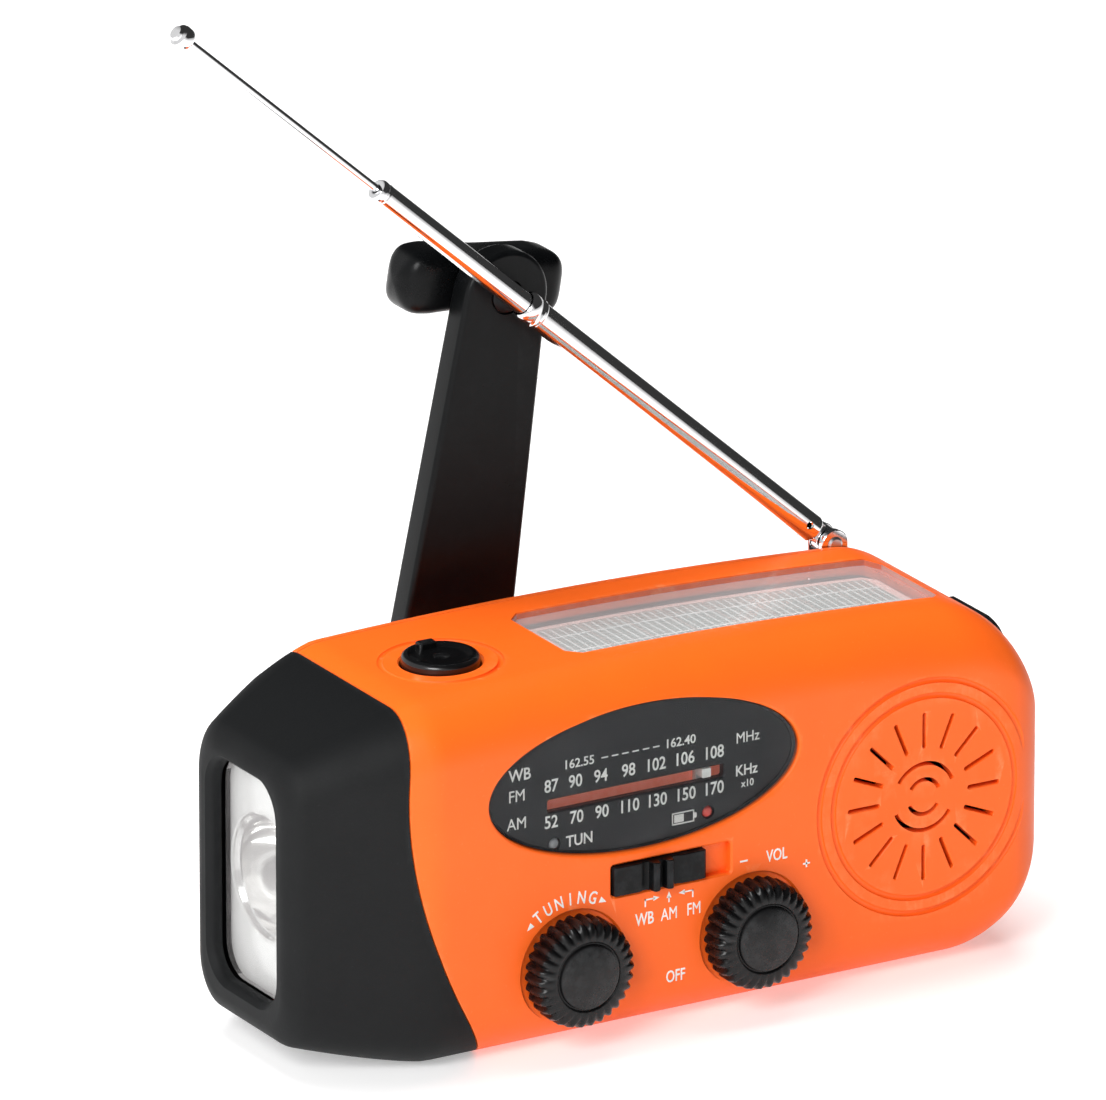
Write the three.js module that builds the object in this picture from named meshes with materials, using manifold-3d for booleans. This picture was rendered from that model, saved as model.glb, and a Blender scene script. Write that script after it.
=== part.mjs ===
// Hand-crank emergency radio with torch, solar panel and telescopic antenna.
// Units are millimetres. The origin is on the flat bottom, midway in depth and 64 mm from the torch end.
// +X runs from the torch to the speaker, -Y is the front with the dial and knobs, and +Z is up.
import * as THREE from "three";
import { mergeVertices } from "three/addons/utils/BufferGeometryUtils.js";
import Module from "manifold-3d";

// ---------- Driving dimensions ----------
const LENGTH = 126.2;
const DEPTH = 45;
const HEIGHT = 56.6;
const TORCH_END = -64;
const SPEAKER_END = TORCH_END + LENGTH;
const HALF_DEPTH = DEPTH / 2;
const WALL = 2.2;
const GAP = 0.3;
const EDGE_RADIUS = 9;

// Body form: a slightly arched top, a rounded speaker end and a tapered torch end.
const TOP_ARCH = 2.6;
const CROWN_X = -14;
const ARCH_SPAN = 64;
const END_ROUND = { x: 16, y: 9, yStart: 8, z: 20 };
const TAPER_LENGTH = 21;
const TAPER = { depth: 8.6, top: 7.4, bottom: 4.8, power: 1.25 };
const NOSE_RADIUS = 2.6;
const OUTER_FACETS = { stations: 16, corner: 2 };
const INNER_FACETS = { stations: 14, corner: 2 };

// The two shells part along a plane behind the solar panel.
const PARTING_Y = 14;

// Crank: hub on the back, folding arm, T-shaped grip.
const HUB = { x: -17, z: 29, radius: 12, back: 22.9, front: 17.2 };
const CRANK_LEAN = THREE.MathUtils.degToRad(9.5);
const SHAFT_RADIUS = 3;
const HINGE = { w: 5, y: 25.6, radius: 2.35, width: 16 };
const ARM = { front: 23.25, back: 27.95, rootWidth: 16, wideWidth: 19.5, headWidth: 14, gripW: 72 };
const GRIP = { y0: 28.4, y1: 37.6, length: 27, height: 9.2, bore: 1.6 };
const STOWED_GRIP_X = HUB.x + ARM.gripW - 2 * HINGE.w;

// Gear train from the crank to the dynamo.
const MODULE = 1;
const MAIN_TEETH = 30;
const PINION_TEETH = 10;
const WHEEL_TEETH = 24;
const MID_X = HUB.x + (MODULE * (MAIN_TEETH + PINION_TEETH)) / 2;
const ROTOR_X = MID_X + (MODULE * (WHEEL_TEETH + PINION_TEETH)) / 2;
const FIRST_PLANE = { y0: 11.4, y1: 14.2 };
const SECOND_PLANE = { y0: 7.6, y1: 10.6 };
const PLATE = { y0: 5, y1: 6.6 };

// Antenna: hinge at the top rear corner, drawn partly out and leaning back over the body.
const ANTENNA = { x: 47, y: 18.2, z: 54.2, tilt: THREE.MathUtils.degToRad(41.5) };
const OUTER_TUBE = { radius: 2.15, bore: 1.95, start: 3.2, floor: 5, end: 70 };
const INNER_TUBE = { radius: 1.75, bore: 0.75, start: 37.6, floor: 39.6, end: 103.2 };
const ROD = { radius: 0.55, start: 80.1, end: 144.2 };
const TIP_RADIUS = 1.8;
const RABBET = { y: 15.4, z: 51.3, x0: -70, x1: 51.5 };

// Front controls.
const FRONT_Y = -HALF_DEPTH;
const DIAL = { x: -8.7, z: 40.2, a: 26.3, b: 11.2 };
const SCALE_SLOT = { x0: -24.5, x1: 5.4, z: 38.1, height: 2 };
const POINTER_X = 2.7;
const LIGHTS = { tune: -23.4, charge: 2.7, z: 32.1, radius: 0.9 };
const KNOB = { radius: 8.4, z: 12.8, front: -27.4, back: -22.05, flutes: 30, faceRadius: 5 };
const TUNING_X = -20.9;
const VOLUME_X = 9.6;
const BAND_SLOT = { x0: -14.5, x1: 5.9, z: 24.9, height: 4.9, floor: -21.1 };
const SLIDER_WIDTH = 15.6;
const SPEAKER = { x: 39.1, z: 28, grooves: [18.1, 15.7], slots: 16, slotIn: 7.6, slotOut: 13.1 };

// Top controls.
const SOLAR = { x0: -14.5, x1: 49.5, y0: -11, y1: 8.5, depth: 3.4, corner: 2 };
const BUTTON = { x: -32, y: -3, radius: 5.85, ring: 8.9, proud: 1.3 };

// Torch end.
const TORCH = { z: 27, width: 19, height: 34.2, corner: 5, plateX: -59.8, cupRadius: 9.6, cupDepth: 11 };

// Right end: rubber cover over the sockets.
const COVER = { y0: -9, y1: 4, z0: 20, z1: 48, thick: 1.1 };

// ---------- Materials ----------
const paint = (color, roughness, metalness = 0) =>
  new THREE.MeshStandardMaterial({ color, roughness, metalness });
const ORANGE = paint(0xff6a1f, 0.5);
const BLACK_RUBBER = paint(0x2a2b2d, 0.75);
const BLACK_PLASTIC = paint(0x17181a, 0.4);
const CHROME = paint(0xd8dade, 0.12, 1);
const STEEL = paint(0x9a9da2, 0.35, 1);
const CLEAR = paint(0xdfe8ee, 0.05);
const SILVER = paint(0xe9ebee, 0.2, 0.6);
const CELL = paint(0xa9adb5, 0.45, 0.2);
const SALMON = paint(0xe8836b, 0.55);
const WHITE = paint(0xf2f2f0, 0.45);
const BOARD_GREEN = paint(0x1f6b3c, 0.55);
const NYLON = paint(0xe6e2d4, 0.5);
const COPPER = paint(0xb87333, 0.4, 0.8);
const FERRITE = paint(0x3a3a3d, 0.6);
const PAPER = paint(0x3b3733, 0.9);
const LABEL_GREEN = paint(0x4f9a4a, 0.4);
const RED = paint(0xc23a30, 0.3);

// ---------- Solids ----------
const wasm = await Module();
wasm.setup();
const { Manifold, Mesh } = wasm;

const radio = new THREE.Group();
const X_AXIS = new THREE.Vector3(1, 0, 0);
const Y_AXIS = new THREE.Vector3(0, 1, 0);
const Z_AXIS = new THREE.Vector3(0, 0, 1);

// A closed three.js geometry as a solid that can be joined and cut.
function solid(geometry) {
  const plain = geometry.clone();
  plain.deleteAttribute("normal");
  plain.deleteAttribute("uv");
  const merged = mergeVertices(plain, 1e-4);
  return new Manifold(
    new Mesh({
      numProp: 3,
      vertProperties: new Float32Array(merged.attributes.position.array),
      triVerts: new Uint32Array(merged.index.array),
    }),
  );
}

// A solid as a three.js geometry with flat faces.
function geometryOf(body) {
  const mesh = body.getMesh();
  const indexed = new THREE.BufferGeometry();
  indexed.setAttribute("position", new THREE.BufferAttribute(mesh.vertProperties, 3));
  indexed.setIndex(new THREE.BufferAttribute(mesh.triVerts, 1));
  const flat = indexed.toNonIndexed();
  flat.computeVertexNormals();
  return flat;
}

// Adds a named mesh to the radio, or to a group inside it.
function add(name, body, material, parent = radio) {
  const mesh = new THREE.Mesh(geometryOf(body), material);
  mesh.name = name;
  parent.add(mesh);
  return mesh;
}

// Turns a shape drawn in a plane into a solid. The shape's own x and y become the axes u and v.
function extruded(shape, from, to, u, v, curveSegments = 12) {
  const w = new THREE.Vector3().crossVectors(u, v);
  const geometry = new THREE.ExtrudeGeometry(shape, { depth: to - from, bevelEnabled: false, curveSegments });
  geometry.translate(0, 0, from);
  geometry.applyMatrix4(new THREE.Matrix4().makeBasis(u, v, w));
  return solid(geometry);
}

// Extrusions of a shape in the XZ plane along Y, in the XY plane along Z, and in the YZ plane along X.
function alongY(shape, y0, y1, segments) {
  return extruded(shape, -y1, -y0, X_AXIS, Z_AXIS, segments);
}
function alongZ(shape, z0, z1, segments) {
  return extruded(shape, z0, z1, X_AXIS, Y_AXIS, segments);
}
function alongX(shape, x0, x1, segments) {
  return extruded(shape, x0, x1, Y_AXIS, Z_AXIS, segments);
}

function box(x0, x1, y0, y1, z0, z1) {
  const geometry = new THREE.BoxGeometry(x1 - x0, y1 - y0, z1 - z0);
  geometry.translate((x0 + x1) / 2, (y0 + y1) / 2, (z0 + z1) / 2);
  return solid(geometry);
}

// A cylinder along Y, X or Z between two positions on that axis.
function cylinder(axis, radius, from, to, a, b, segments = 24) {
  const geometry = new THREE.CylinderGeometry(radius, radius, to - from, segments);
  const middle = (from + to) / 2;
  if (axis === "y") geometry.translate(a, middle, b);
  if (axis === "x") geometry.rotateZ(-Math.PI / 2).translate(middle, a, b);
  if (axis === "z") geometry.rotateX(Math.PI / 2).translate(a, b, middle);
  return solid(geometry);
}

function rectangle(x0, x1, y0, y1, radius) {
  const shape = new THREE.Shape();
  shape.moveTo(x0 + radius, y0);
  shape.lineTo(x1 - radius, y0);
  shape.absarc(x1 - radius, y0 + radius, radius, -Math.PI / 2, 0);
  shape.lineTo(x1, y1 - radius);
  shape.absarc(x1 - radius, y1 - radius, radius, 0, Math.PI / 2);
  shape.lineTo(x0 + radius, y1);
  shape.absarc(x0 + radius, y1 - radius, radius, Math.PI / 2, Math.PI);
  shape.lineTo(x0, y0 + radius);
  shape.absarc(x0 + radius, y0 + radius, radius, Math.PI, 1.5 * Math.PI);
  return shape;
}

function ellipse(x, y, a, b) {
  const shape = new THREE.Shape();
  shape.absellipse(x, y, a, b, 0, 2 * Math.PI);
  return shape;
}

// A solid of revolution about the local Y axis. The profile is a list of [radius, height] pairs.
function lathe(profile, segments = 24) {
  const points = profile.map(([r, h]) => new THREE.Vector2(r, h));
  return solid(new THREE.LatheGeometry(points, segments));
}

// The same turned so that its heights run along +X.
function latheX(profile, segments = 16) {
  return lathe(profile, segments).rotate([0, 0, -90]);
}

// ---------- Body form ----------
const clamp01 = (value) => THREE.MathUtils.clamp(value, 0, 1);
const quarterRound = (t) => 1 - Math.sqrt(Math.max(0, 1 - t * t));

// How far each side has moved in at a place along the body.
function endRound(x, length) {
  return quarterRound(clamp01((x - (SPEAKER_END - length)) / length));
}
function taper(x) {
  return Math.pow(clamp01((TORCH_END + TAPER_LENGTH - x) / TAPER_LENGTH), TAPER.power);
}
function noseRound(x) {
  return NOSE_RADIUS * quarterRound(clamp01((TORCH_END + NOSE_RADIUS - x) / NOSE_RADIUS));
}
function halfDepthAt(x) {
  return HALF_DEPTH - END_ROUND.y * endRound(x, END_ROUND.yStart) - TAPER.depth * taper(x) - noseRound(x);
}
function topAt(x) {
  const arch = TOP_ARCH * Math.pow((x - CROWN_X) / ARCH_SPAN, 2);
  return HEIGHT - arch - END_ROUND.z * endRound(x, END_ROUND.x) - TAPER.top * taper(x) - noseRound(x);
}
function bottomAt(x) {
  return END_ROUND.z * endRound(x, END_ROUND.x) + TAPER.bottom * taper(x) + noseRound(x);
}

// The outer form of the body, moved in all round by an inset. Its section is a rounded rectangle whose
// size follows the form above.
function bodyForm(inset, facets = OUTER_FACETS) {
  const halfWidth = HALF_DEPTH - inset;
  const halfTall = HEIGHT / 2 - inset;
  const section = rectangle(-halfWidth, halfWidth, -halfTall, halfTall, EDGE_RADIUS - inset);
  const geometry = new THREE.ExtrudeGeometry(section, {
    depth: 1,
    steps: facets.stations,
    bevelEnabled: false,
    curveSegments: facets.corner,
  });
  const position = geometry.attributes.position;
  for (let i = 0; i < position.count; i++) {
    const share = (1 - Math.cos(Math.PI * position.getZ(i))) / 2;
    const x = THREE.MathUtils.lerp(TORCH_END, SPEAKER_END, share);
    const insetX = THREE.MathUtils.lerp(TORCH_END + inset, SPEAKER_END - inset, share);
    const middle = (topAt(x) + bottomAt(x)) / 2;
    const tall = (topAt(x) - bottomAt(x)) / 2 - inset;
    const wide = halfDepthAt(x) - inset;
    const y = (position.getX(i) / halfWidth) * wide;
    const z = middle + (position.getY(i) / halfTall) * tall;
    position.setXYZ(i, insetX, y, z);
  }
  return solid(geometry);
}

// Everything on the torch side of the curved joint between the black head and the orange shells.
function torchSide(shift) {
  const shape = new THREE.Shape();
  const top = HEIGHT + 5;
  shape.moveTo(-46 + shift, top);
  shape.lineTo(-46 + shift, HEIGHT);
  shape.bezierCurveTo(-51 + shift, 38, -45 + shift, 16, -34 + shift, 0);
  shape.lineTo(-32 + shift, -5);
  shape.lineTo(TORCH_END - 10, -5);
  shape.lineTo(TORCH_END - 10, top);
  return alongY(shape, -HALF_DEPTH - 5, HALF_DEPTH + 5, 10);
}

const outerForm = bodyForm(0);

// The recess in the back that takes the grip when the arm is folded flat.
const pocket = {
  x0: STOWED_GRIP_X - GRIP.height / 2 - 0.9,
  x1: STOWED_GRIP_X + GRIP.height / 2 + 0.9,
  y0: 2 * HINGE.y - GRIP.y1 - 0.8,
  z0: HUB.z - GRIP.length / 2 - 1,
  z1: HUB.z + GRIP.length / 2 + 1,
};

// The block that the pocket is cut from, with walls of the given thickness.
function pocketBox(thick) {
  const { x0, x1, y0, z0, z1 } = pocket;
  return box(x0 - thick, x1 + thick, y0 - thick, HALF_DEPTH, z0 - thick, z1 + thick);
}

// The hollow inside, less the material that stays round the antenna step and the recesses in the back.
function innerForm() {
  const thick = 1.8;
  const step = box(RABBET.x0, RABBET.x1 + 4, RABBET.y - thick, HALF_DEPTH, RABBET.z - 4.6, HEIGHT);
  const seatRadius = HUB.radius + 0.5 + thick;
  const hubSeat = cylinder("y", seatRadius, HUB.front - GAP - thick, HALF_DEPTH, HUB.x, HUB.z, 28);
  return bodyForm(WALL, INNER_FACETS).subtract(step).subtract(hubSeat).subtract(pocketBox(thick));
}

// Case screws: a post in the front shell takes each one from the back.
const SCREWS = [
  { x: -33, z: 7.2 },
  { x: -42.2, z: 47 },
  { x: 55, z: 10.5 },
  { x: 54.6, z: 47 },
];

function screwPosts() {
  const half = 3;
  const posts = SCREWS.map(({ x, z }) => {
    const low = z < HEIGHT / 2;
    return box(x - half, x + half, -HALF_DEPTH, PARTING_Y, low ? -5 : z - half, low ? z + half : HEIGHT);
  });
  return Manifold.union(posts);
}

function screwHoles() {
  const holes = SCREWS.flatMap(({ x, z }) => [
    cylinder("y", 1.35, -6, PARTING_Y + 5, x, z, 12),
    cylinder("y", 1.6, PARTING_Y, HALF_DEPTH, x, z, 12),
    cylinder("y", 3, PARTING_Y + 3, HALF_DEPTH + 2, x, z, 20),
  ]);
  return Manifold.union(holes);
}

function buildShells() {
  const hollow = innerForm();
  const walls = outerForm.subtract(hollow);
  const step = box(RABBET.x0, RABBET.x1, RABBET.y, HALF_DEPTH + 5, RABBET.z, HEIGHT + 5);
  const footing = box(ANTENNA.x - 4.2, RABBET.x1, RABBET.y, HALF_DEPTH + 5, RABBET.z - 2.8, HEIGHT + 5);
  const orange = outerForm.subtract(torchSide(GAP / 2));

  const frontHalf = box(-80, 80, -40, PARTING_Y - GAP / 2, -10, 80);
  const front = walls
    .add(screwPosts().intersect(outerForm))
    .intersect(orange)
    .intersect(frontHalf)
    .subtract(pocketBox(1.85))
    .subtract(screwHoles())
    .subtract(frontOpenings())
    .subtract(topOpenings())
    .subtract(socketOpenings());
  add("front_shell", front, ORANGE);

  const rearHalf = box(-80, 80, PARTING_Y + GAP / 2, 40, -10, 80);
  const seats = Manifold.union(
    SCREWS.map(({ x, z }) => cylinder("y", 4.2, PARTING_Y + 1, HALF_DEPTH, x, z, 20).intersect(outerForm)),
  );
  const backRecesses = Manifold.union([
    cylinder("y", HUB.radius + 0.5, HUB.front - GAP, HALF_DEPTH + 5, HUB.x, HUB.z, 28),
    cylinder("y", SHAFT_RADIUS + 0.15, 0, HALF_DEPTH, HUB.x, HUB.z),
    box(pocket.x0, pocket.x1, pocket.y0, HALF_DEPTH + 5, pocket.z0, pocket.z1),
  ]);
  const rear = walls
    .add(seats)
    .intersect(orange)
    .intersect(rearHalf.add(pocketBox(1.5)))
    .subtract(step)
    .subtract(footing)
    .subtract(backRecesses)
    .subtract(screwHoles());
  add("rear_shell", rear, ORANGE);

  const opening = rectangle(
    -TORCH.width / 2,
    TORCH.width / 2,
    TORCH.z - TORCH.height / 2,
    TORCH.z + TORCH.height / 2,
    TORCH.corner,
  );
  const head = outerForm
    .subtract(bodyForm(WALL, INNER_FACETS))
    .intersect(torchSide(-GAP / 2))
    .subtract(alongX(opening, TORCH_END - 5, TORCH_END + 10, 5))
    .subtract(step);
  add("torch_head", head, BLACK_RUBBER);

  SCREWS.forEach(({ x, z }, i) => {
    const shank = cylinder("y", 1.2, -3, PARTING_Y + 3.4, x, z, 10);
    const top = cylinder("y", 2.6, PARTING_Y + 3.3, PARTING_Y + 5.2, x, z, 16);
    const cross = box(x - 1.5, x + 1.5, PARTING_Y + 4.4, PARTING_Y + 6, z - 0.3, z + 0.3);
    const crossUp = box(x - 0.3, x + 0.3, PARTING_Y + 4.4, PARTING_Y + 6, z - 1.5, z + 1.5);
    add(`case_screw_${i + 1}`, shank.add(top).subtract(cross).subtract(crossUp), STEEL);
  });
}

// ---------- Openings in the front shell ----------
function ringCut(x, z, radius, width, floor) {
  const outer = cylinder("y", radius + width / 2, FRONT_Y - 2, floor, x, z, 24);
  return outer.subtract(cylinder("y", radius - width / 2, FRONT_Y - 3, floor + 1, x, z, 24));
}

// A straight slot, drawn along its own x and turned about the grille's centre.
function grilleSlot(angle) {
  const half = 0.45;
  const cut = box(SPEAKER.slotIn, SPEAKER.slotOut, FRONT_Y - 3, FRONT_Y + WALL + 2, -half, half);
  return cut.rotate([0, THREE.MathUtils.radToDeg(angle), 0]).translate([SPEAKER.x, 0, SPEAKER.z]);
}

// Two curved slots near the middle of the grille, opposite each other.
function arcSlots(radius) {
  const half = 0.45;
  const sweep = THREE.MathUtils.degToRad(125);
  const start = THREE.MathUtils.degToRad(-15);
  return [0, Math.PI].map((turn) => {
    const from = start + turn;
    const shape = new THREE.Shape();
    shape.absarc(0, 0, radius + half, from, from + sweep, false);
    shape.absarc(0, 0, radius - half, from + sweep, from, true);
    return alongY(shape, FRONT_Y - 3, FRONT_Y + WALL + 2, 3).translate([SPEAKER.x, 0, SPEAKER.z]);
  });
}

function frontOpenings() {
  const through = FRONT_Y + WALL + 2;
  const outside = FRONT_Y - 3;
  const bandShape = rectangle(
    BAND_SLOT.x0,
    BAND_SLOT.x1,
    BAND_SLOT.z - BAND_SLOT.height / 2,
    BAND_SLOT.z + BAND_SLOT.height / 2,
    0.4,
  );
  const cuts = [
    alongY(ellipse(DIAL.x, DIAL.z, DIAL.a, DIAL.b), outside, through, 16),
    alongY(bandShape, outside, BAND_SLOT.floor, 3),
    box(-11, 1.2, outside, through, BAND_SLOT.z - 1, BAND_SLOT.z + 1),
    ...SPEAKER.grooves.map((radius) => ringCut(SPEAKER.x, SPEAKER.z, radius, 0.8, FRONT_Y + 0.5)),
    ...arcSlots(5.2),
    ...arcSlots(2.7),
  ];
  for (let i = 0; i < SPEAKER.slots; i++) {
    cuts.push(grilleSlot((i * 2 * Math.PI) / SPEAKER.slots));
  }
  for (const x of [TUNING_X, VOLUME_X]) {
    cuts.push(cylinder("y", KNOB.radius + 0.7, outside, FRONT_Y + 0.7, x, KNOB.z, 28));
    cuts.push(cylinder("y", SHAFT_RADIUS + 0.2, outside, through, x, KNOB.z, 24));
  }
  return Manifold.union(cuts);
}

// ---------- Openings in the top ----------
// The arched top, moved down by a depth, as a solid that reaches well above the body.
function aboveTop(depth) {
  const shape = new THREE.Shape();
  const steps = 16;
  for (let i = 0; i <= steps; i++) {
    const x = THREE.MathUtils.lerp(SOLAR.x0 - 10, SOLAR.x1 + 6, i / steps);
    const arch = TOP_ARCH * Math.pow((x - CROWN_X) / ARCH_SPAN, 2);
    const z = HEIGHT - arch - END_ROUND.z * endRound(x, END_ROUND.x) - depth;
    if (i === 0) shape.moveTo(x, z);
    else shape.lineTo(x, z);
  }
  shape.lineTo(SOLAR.x1 + 6, HEIGHT + 10);
  shape.lineTo(SOLAR.x0 - 10, HEIGHT + 10);
  return alongY(shape, -HALF_DEPTH, HALF_DEPTH);
}

function solarOutline(margin) {
  const x0 = SOLAR.x0 + margin;
  const x1 = SOLAR.x1 - margin;
  return rectangle(x0, x1, SOLAR.y0 + margin, SOLAR.y1 - margin, SOLAR.corner);
}

function topOpenings() {
  const seat = alongZ(solarOutline(0), 30, HEIGHT + 10, 5).intersect(aboveTop(SOLAR.depth));
  const groove = cylinder("z", BUTTON.ring + 0.35, topAt(BUTTON.x) - 0.45, HEIGHT + 5, BUTTON.x, BUTTON.y, 24)
    .subtract(cylinder("z", BUTTON.ring - 0.35, 40, HEIGHT + 6, BUTTON.x, BUTTON.y, 24));
  const buttonHole = cylinder("z", BUTTON.radius + 0.25, 40, HEIGHT + 5, BUTTON.x, BUTTON.y);
  return Manifold.union([seat, groove, buttonHole]);
}

function buildSolar() {
  const cover = alongZ(solarOutline(0.15), 30, HEIGHT + 10, 5)
    .intersect(aboveTop(0.9))
    .subtract(aboveTop(0.05));
  add("solar_window", cover, CLEAR);
  const panel = alongZ(solarOutline(1.2), 30, HEIGHT + 10, 4).intersect(aboveTop(SOLAR.depth - 0.2));
  add("solar_panel", panel.subtract(aboveTop(SOLAR.depth - 1.3)), CELL);
}

function buildTorchButton() {
  const top = topAt(BUTTON.x) + BUTTON.proud;
  const cap = lathe([
    [0, top - 5.1],
    [6.7, top - 5.1],
    [6.7, top - 4.1],
    [BUTTON.radius, top - 4.1],
    [BUTTON.radius, top - 0.6],
    [BUTTON.radius - 0.6, top],
    [1.4, top - 0.15],
    [0.9, top - 0.45],
    [0, top - 0.5],
  ]);
  const upright = cap.rotate([90, 0, 0]);
  const tab = box(-1.4, 1.4, 3.4, 5, top - 1, top + 0.5);
  add("torch_button", upright.add(tab).translate([BUTTON.x, BUTTON.y, 0]), BLACK_PLASTIC);
  const switchTop = top - 5.1 - 1.3;
  const switchBody = box(-3, 3, -3, 3, switchTop - 4.3, switchTop - 0.8).add(
    cylinder("z", 1.7, switchTop - 1, switchTop, 0, 0, 16),
  );
  add("torch_switch", switchBody.translate([BUTTON.x, BUTTON.y, 0]), BLACK_PLASTIC);
}

// ---------- Torch ----------
function buildTorch() {
  const plateShape = rectangle(
    -TORCH.width / 2 - 0.8,
    TORCH.width / 2 + 0.8,
    TORCH.z - TORCH.height / 2 - 0.8,
    TORCH.z + TORCH.height / 2 + 0.8,
    TORCH.corner,
  );
  const plate = alongX(plateShape, TORCH.plateX, TORCH.plateX + 1, 5);
  const cupWall = 1;
  const outerCup = latheX(
    [
      [0, 0],
      [TORCH.cupRadius + cupWall, 0],
      [TORCH.cupRadius * 0.86 + cupWall, 4],
      [TORCH.cupRadius * 0.5 + cupWall, TORCH.cupDepth],
      [0, TORCH.cupDepth],
    ],
    24,
  );
  const innerCup = latheX(
    [
      [0, -1],
      [TORCH.cupRadius, -1],
      [TORCH.cupRadius, 0.2],
      [TORCH.cupRadius * 0.86, 4],
      [TORCH.cupRadius * 0.5, TORCH.cupDepth + 1],
      [0, TORCH.cupDepth + 1],
    ],
    24,
  );
  const place = [TORCH.plateX, 0, TORCH.z];
  const reflector = plate.add(outerCup.translate(place)).subtract(innerCup.translate(place));
  add("torch_reflector", reflector, SILVER);

  const lensShape = rectangle(
    -TORCH.width / 2 - 0.2,
    TORCH.width / 2 + 0.2,
    TORCH.z - TORCH.height / 2 - 0.2,
    TORCH.z + TORCH.height / 2 + 0.2,
    TORCH.corner,
  );
  add("torch_lens", alongX(lensShape, TORCH.plateX - 1.3, TORCH.plateX - GAP, 5), CLEAR);

  const boardX = TORCH.plateX + TORCH.cupDepth + GAP;
  const boardShape = rectangle(-8, 8, TORCH.z - 8, TORCH.z + 8, 1);
  add("led_board", alongX(boardShape, boardX, boardX + 1.2, 2), BOARD_GREEN);
  for (let i = 0; i < 3; i++) {
    const angle = Math.PI / 2 + (i * 2 * Math.PI) / 3;
    const dome = latheX(
      [
        [0, 0],
        [1.3, 0.25],
        [1.8, 1.1],
        [1.8, 5],
        [0, 5],
      ],
      16,
    );
    const y = 2.4 * Math.cos(angle);
    const z = TORCH.z + 2.4 * Math.sin(angle);
    add(`torch_led_${i + 1}`, dome.translate([boardX - 5.2, y, z]), CLEAR);
  }
}

// ---------- Dial ----------
function dialOval(margin, y0, y1) {
  return alongY(ellipse(DIAL.x, DIAL.z, DIAL.a + margin, DIAL.b + margin), y0, y1, 16);
}

function buildDial() {
  add("dial_window", dialOval(-0.2, FRONT_Y + 0.35, FRONT_Y + 1), CLEAR);
  const half = SCALE_SLOT.height / 2;
  const slot = rectangle(SCALE_SLOT.x0, SCALE_SLOT.x1, SCALE_SLOT.z - half, SCALE_SLOT.z + half, half - 0.05);
  const back = FRONT_Y + 3.2;
  const lightHoles = [LIGHTS.tune, LIGHTS.charge].map((x) =>
    cylinder("y", LIGHTS.radius + 0.2, FRONT_Y, back + 1, x, LIGHTS.z, 16),
  );
  const insideShell = bodyForm(WALL + 0.25).add(dialOval(0, FRONT_Y, back));
  const plate = dialOval(-0.2, FRONT_Y + 1.3, FRONT_Y + 2.45)
    .add(dialOval(1.6, FRONT_Y + 2.4, back))
    .subtract(alongY(slot, FRONT_Y, back + 1, 4))
    .subtract(Manifold.union(lightHoles))
    .intersect(insideShell);
  add("dial_plate", plate, BLACK_PLASTIC);

  const pointerY = back + 0.25;
  // A box centred on the scale's height.
  const onScale = (x0, x1, y0, y1, halfTall) =>
    box(x0, x1, y0, y1, SCALE_SLOT.z - halfTall, SCALE_SLOT.z + halfTall);
  const finger = onScale(POINTER_X - 0.7, POINTER_X + 0.7, FRONT_Y + 1.7, pointerY + 0.9, 0.7);
  const carriage = onScale(POINTER_X - 2.5, POINTER_X + 2.5, pointerY, pointerY + 0.9, 2.6);
  add("dial_pointer", finger.add(carriage), WHITE);
  const stripY = pointerY + 1.2;
  const strip = onScale(SCALE_SLOT.x0 - 4, SCALE_SLOT.x1 + 4, stripY, stripY + 0.8, 3.5);
  add("scale_strip", strip, SALMON);

  for (const [name, x, material] of [
    ["tune_light", LIGHTS.tune, WHITE],
    ["charge_light", LIGHTS.charge, RED],
  ]) {
    add(name, cylinder("y", LIGHTS.radius, FRONT_Y + 1.35, back + 1.5, x, LIGHTS.z, 16), material);
  }
}

// ---------- Knobs and band switch ----------
// The outline of a fluted disc: the radius rises and falls once for each flute.
function flutedShape(radius, depth, count) {
  const shape = new THREE.Shape();
  for (let i = 0; i < count * 2; i++) {
    const angle = (i * Math.PI) / count;
    const r = radius - depth * (i % 2);
    if (i === 0) shape.moveTo(r, 0);
    else shape.lineTo(r * Math.cos(angle), r * Math.sin(angle));
  }
  return shape;
}

function buildKnob(name, x) {
  const skirt = alongY(flutedShape(KNOB.radius, 0.5, KNOB.flutes), KNOB.front + 0.5, KNOB.back);
  const face = cylinder("y", KNOB.faceRadius, KNOB.front, KNOB.front + 1, 0, 0, 24);
  const bore = cylinder("y", SHAFT_RADIUS + 0.3, KNOB.back - 3, KNOB.back + 1, 0, 0, 20);
  add(`${name}_knob`, skirt.add(face).subtract(bore).translate([x, 0, KNOB.z]), BLACK_PLASTIC);
  const shaft = cylinder("y", SHAFT_RADIUS, KNOB.back - 2.6, FRONT_Y + 4.4, x, KNOB.z, 20);
  add(`${name}_shaft`, shaft, STEEL);
}

const BOARD_Y = { y0: -10.6, y1: -9 };

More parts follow.
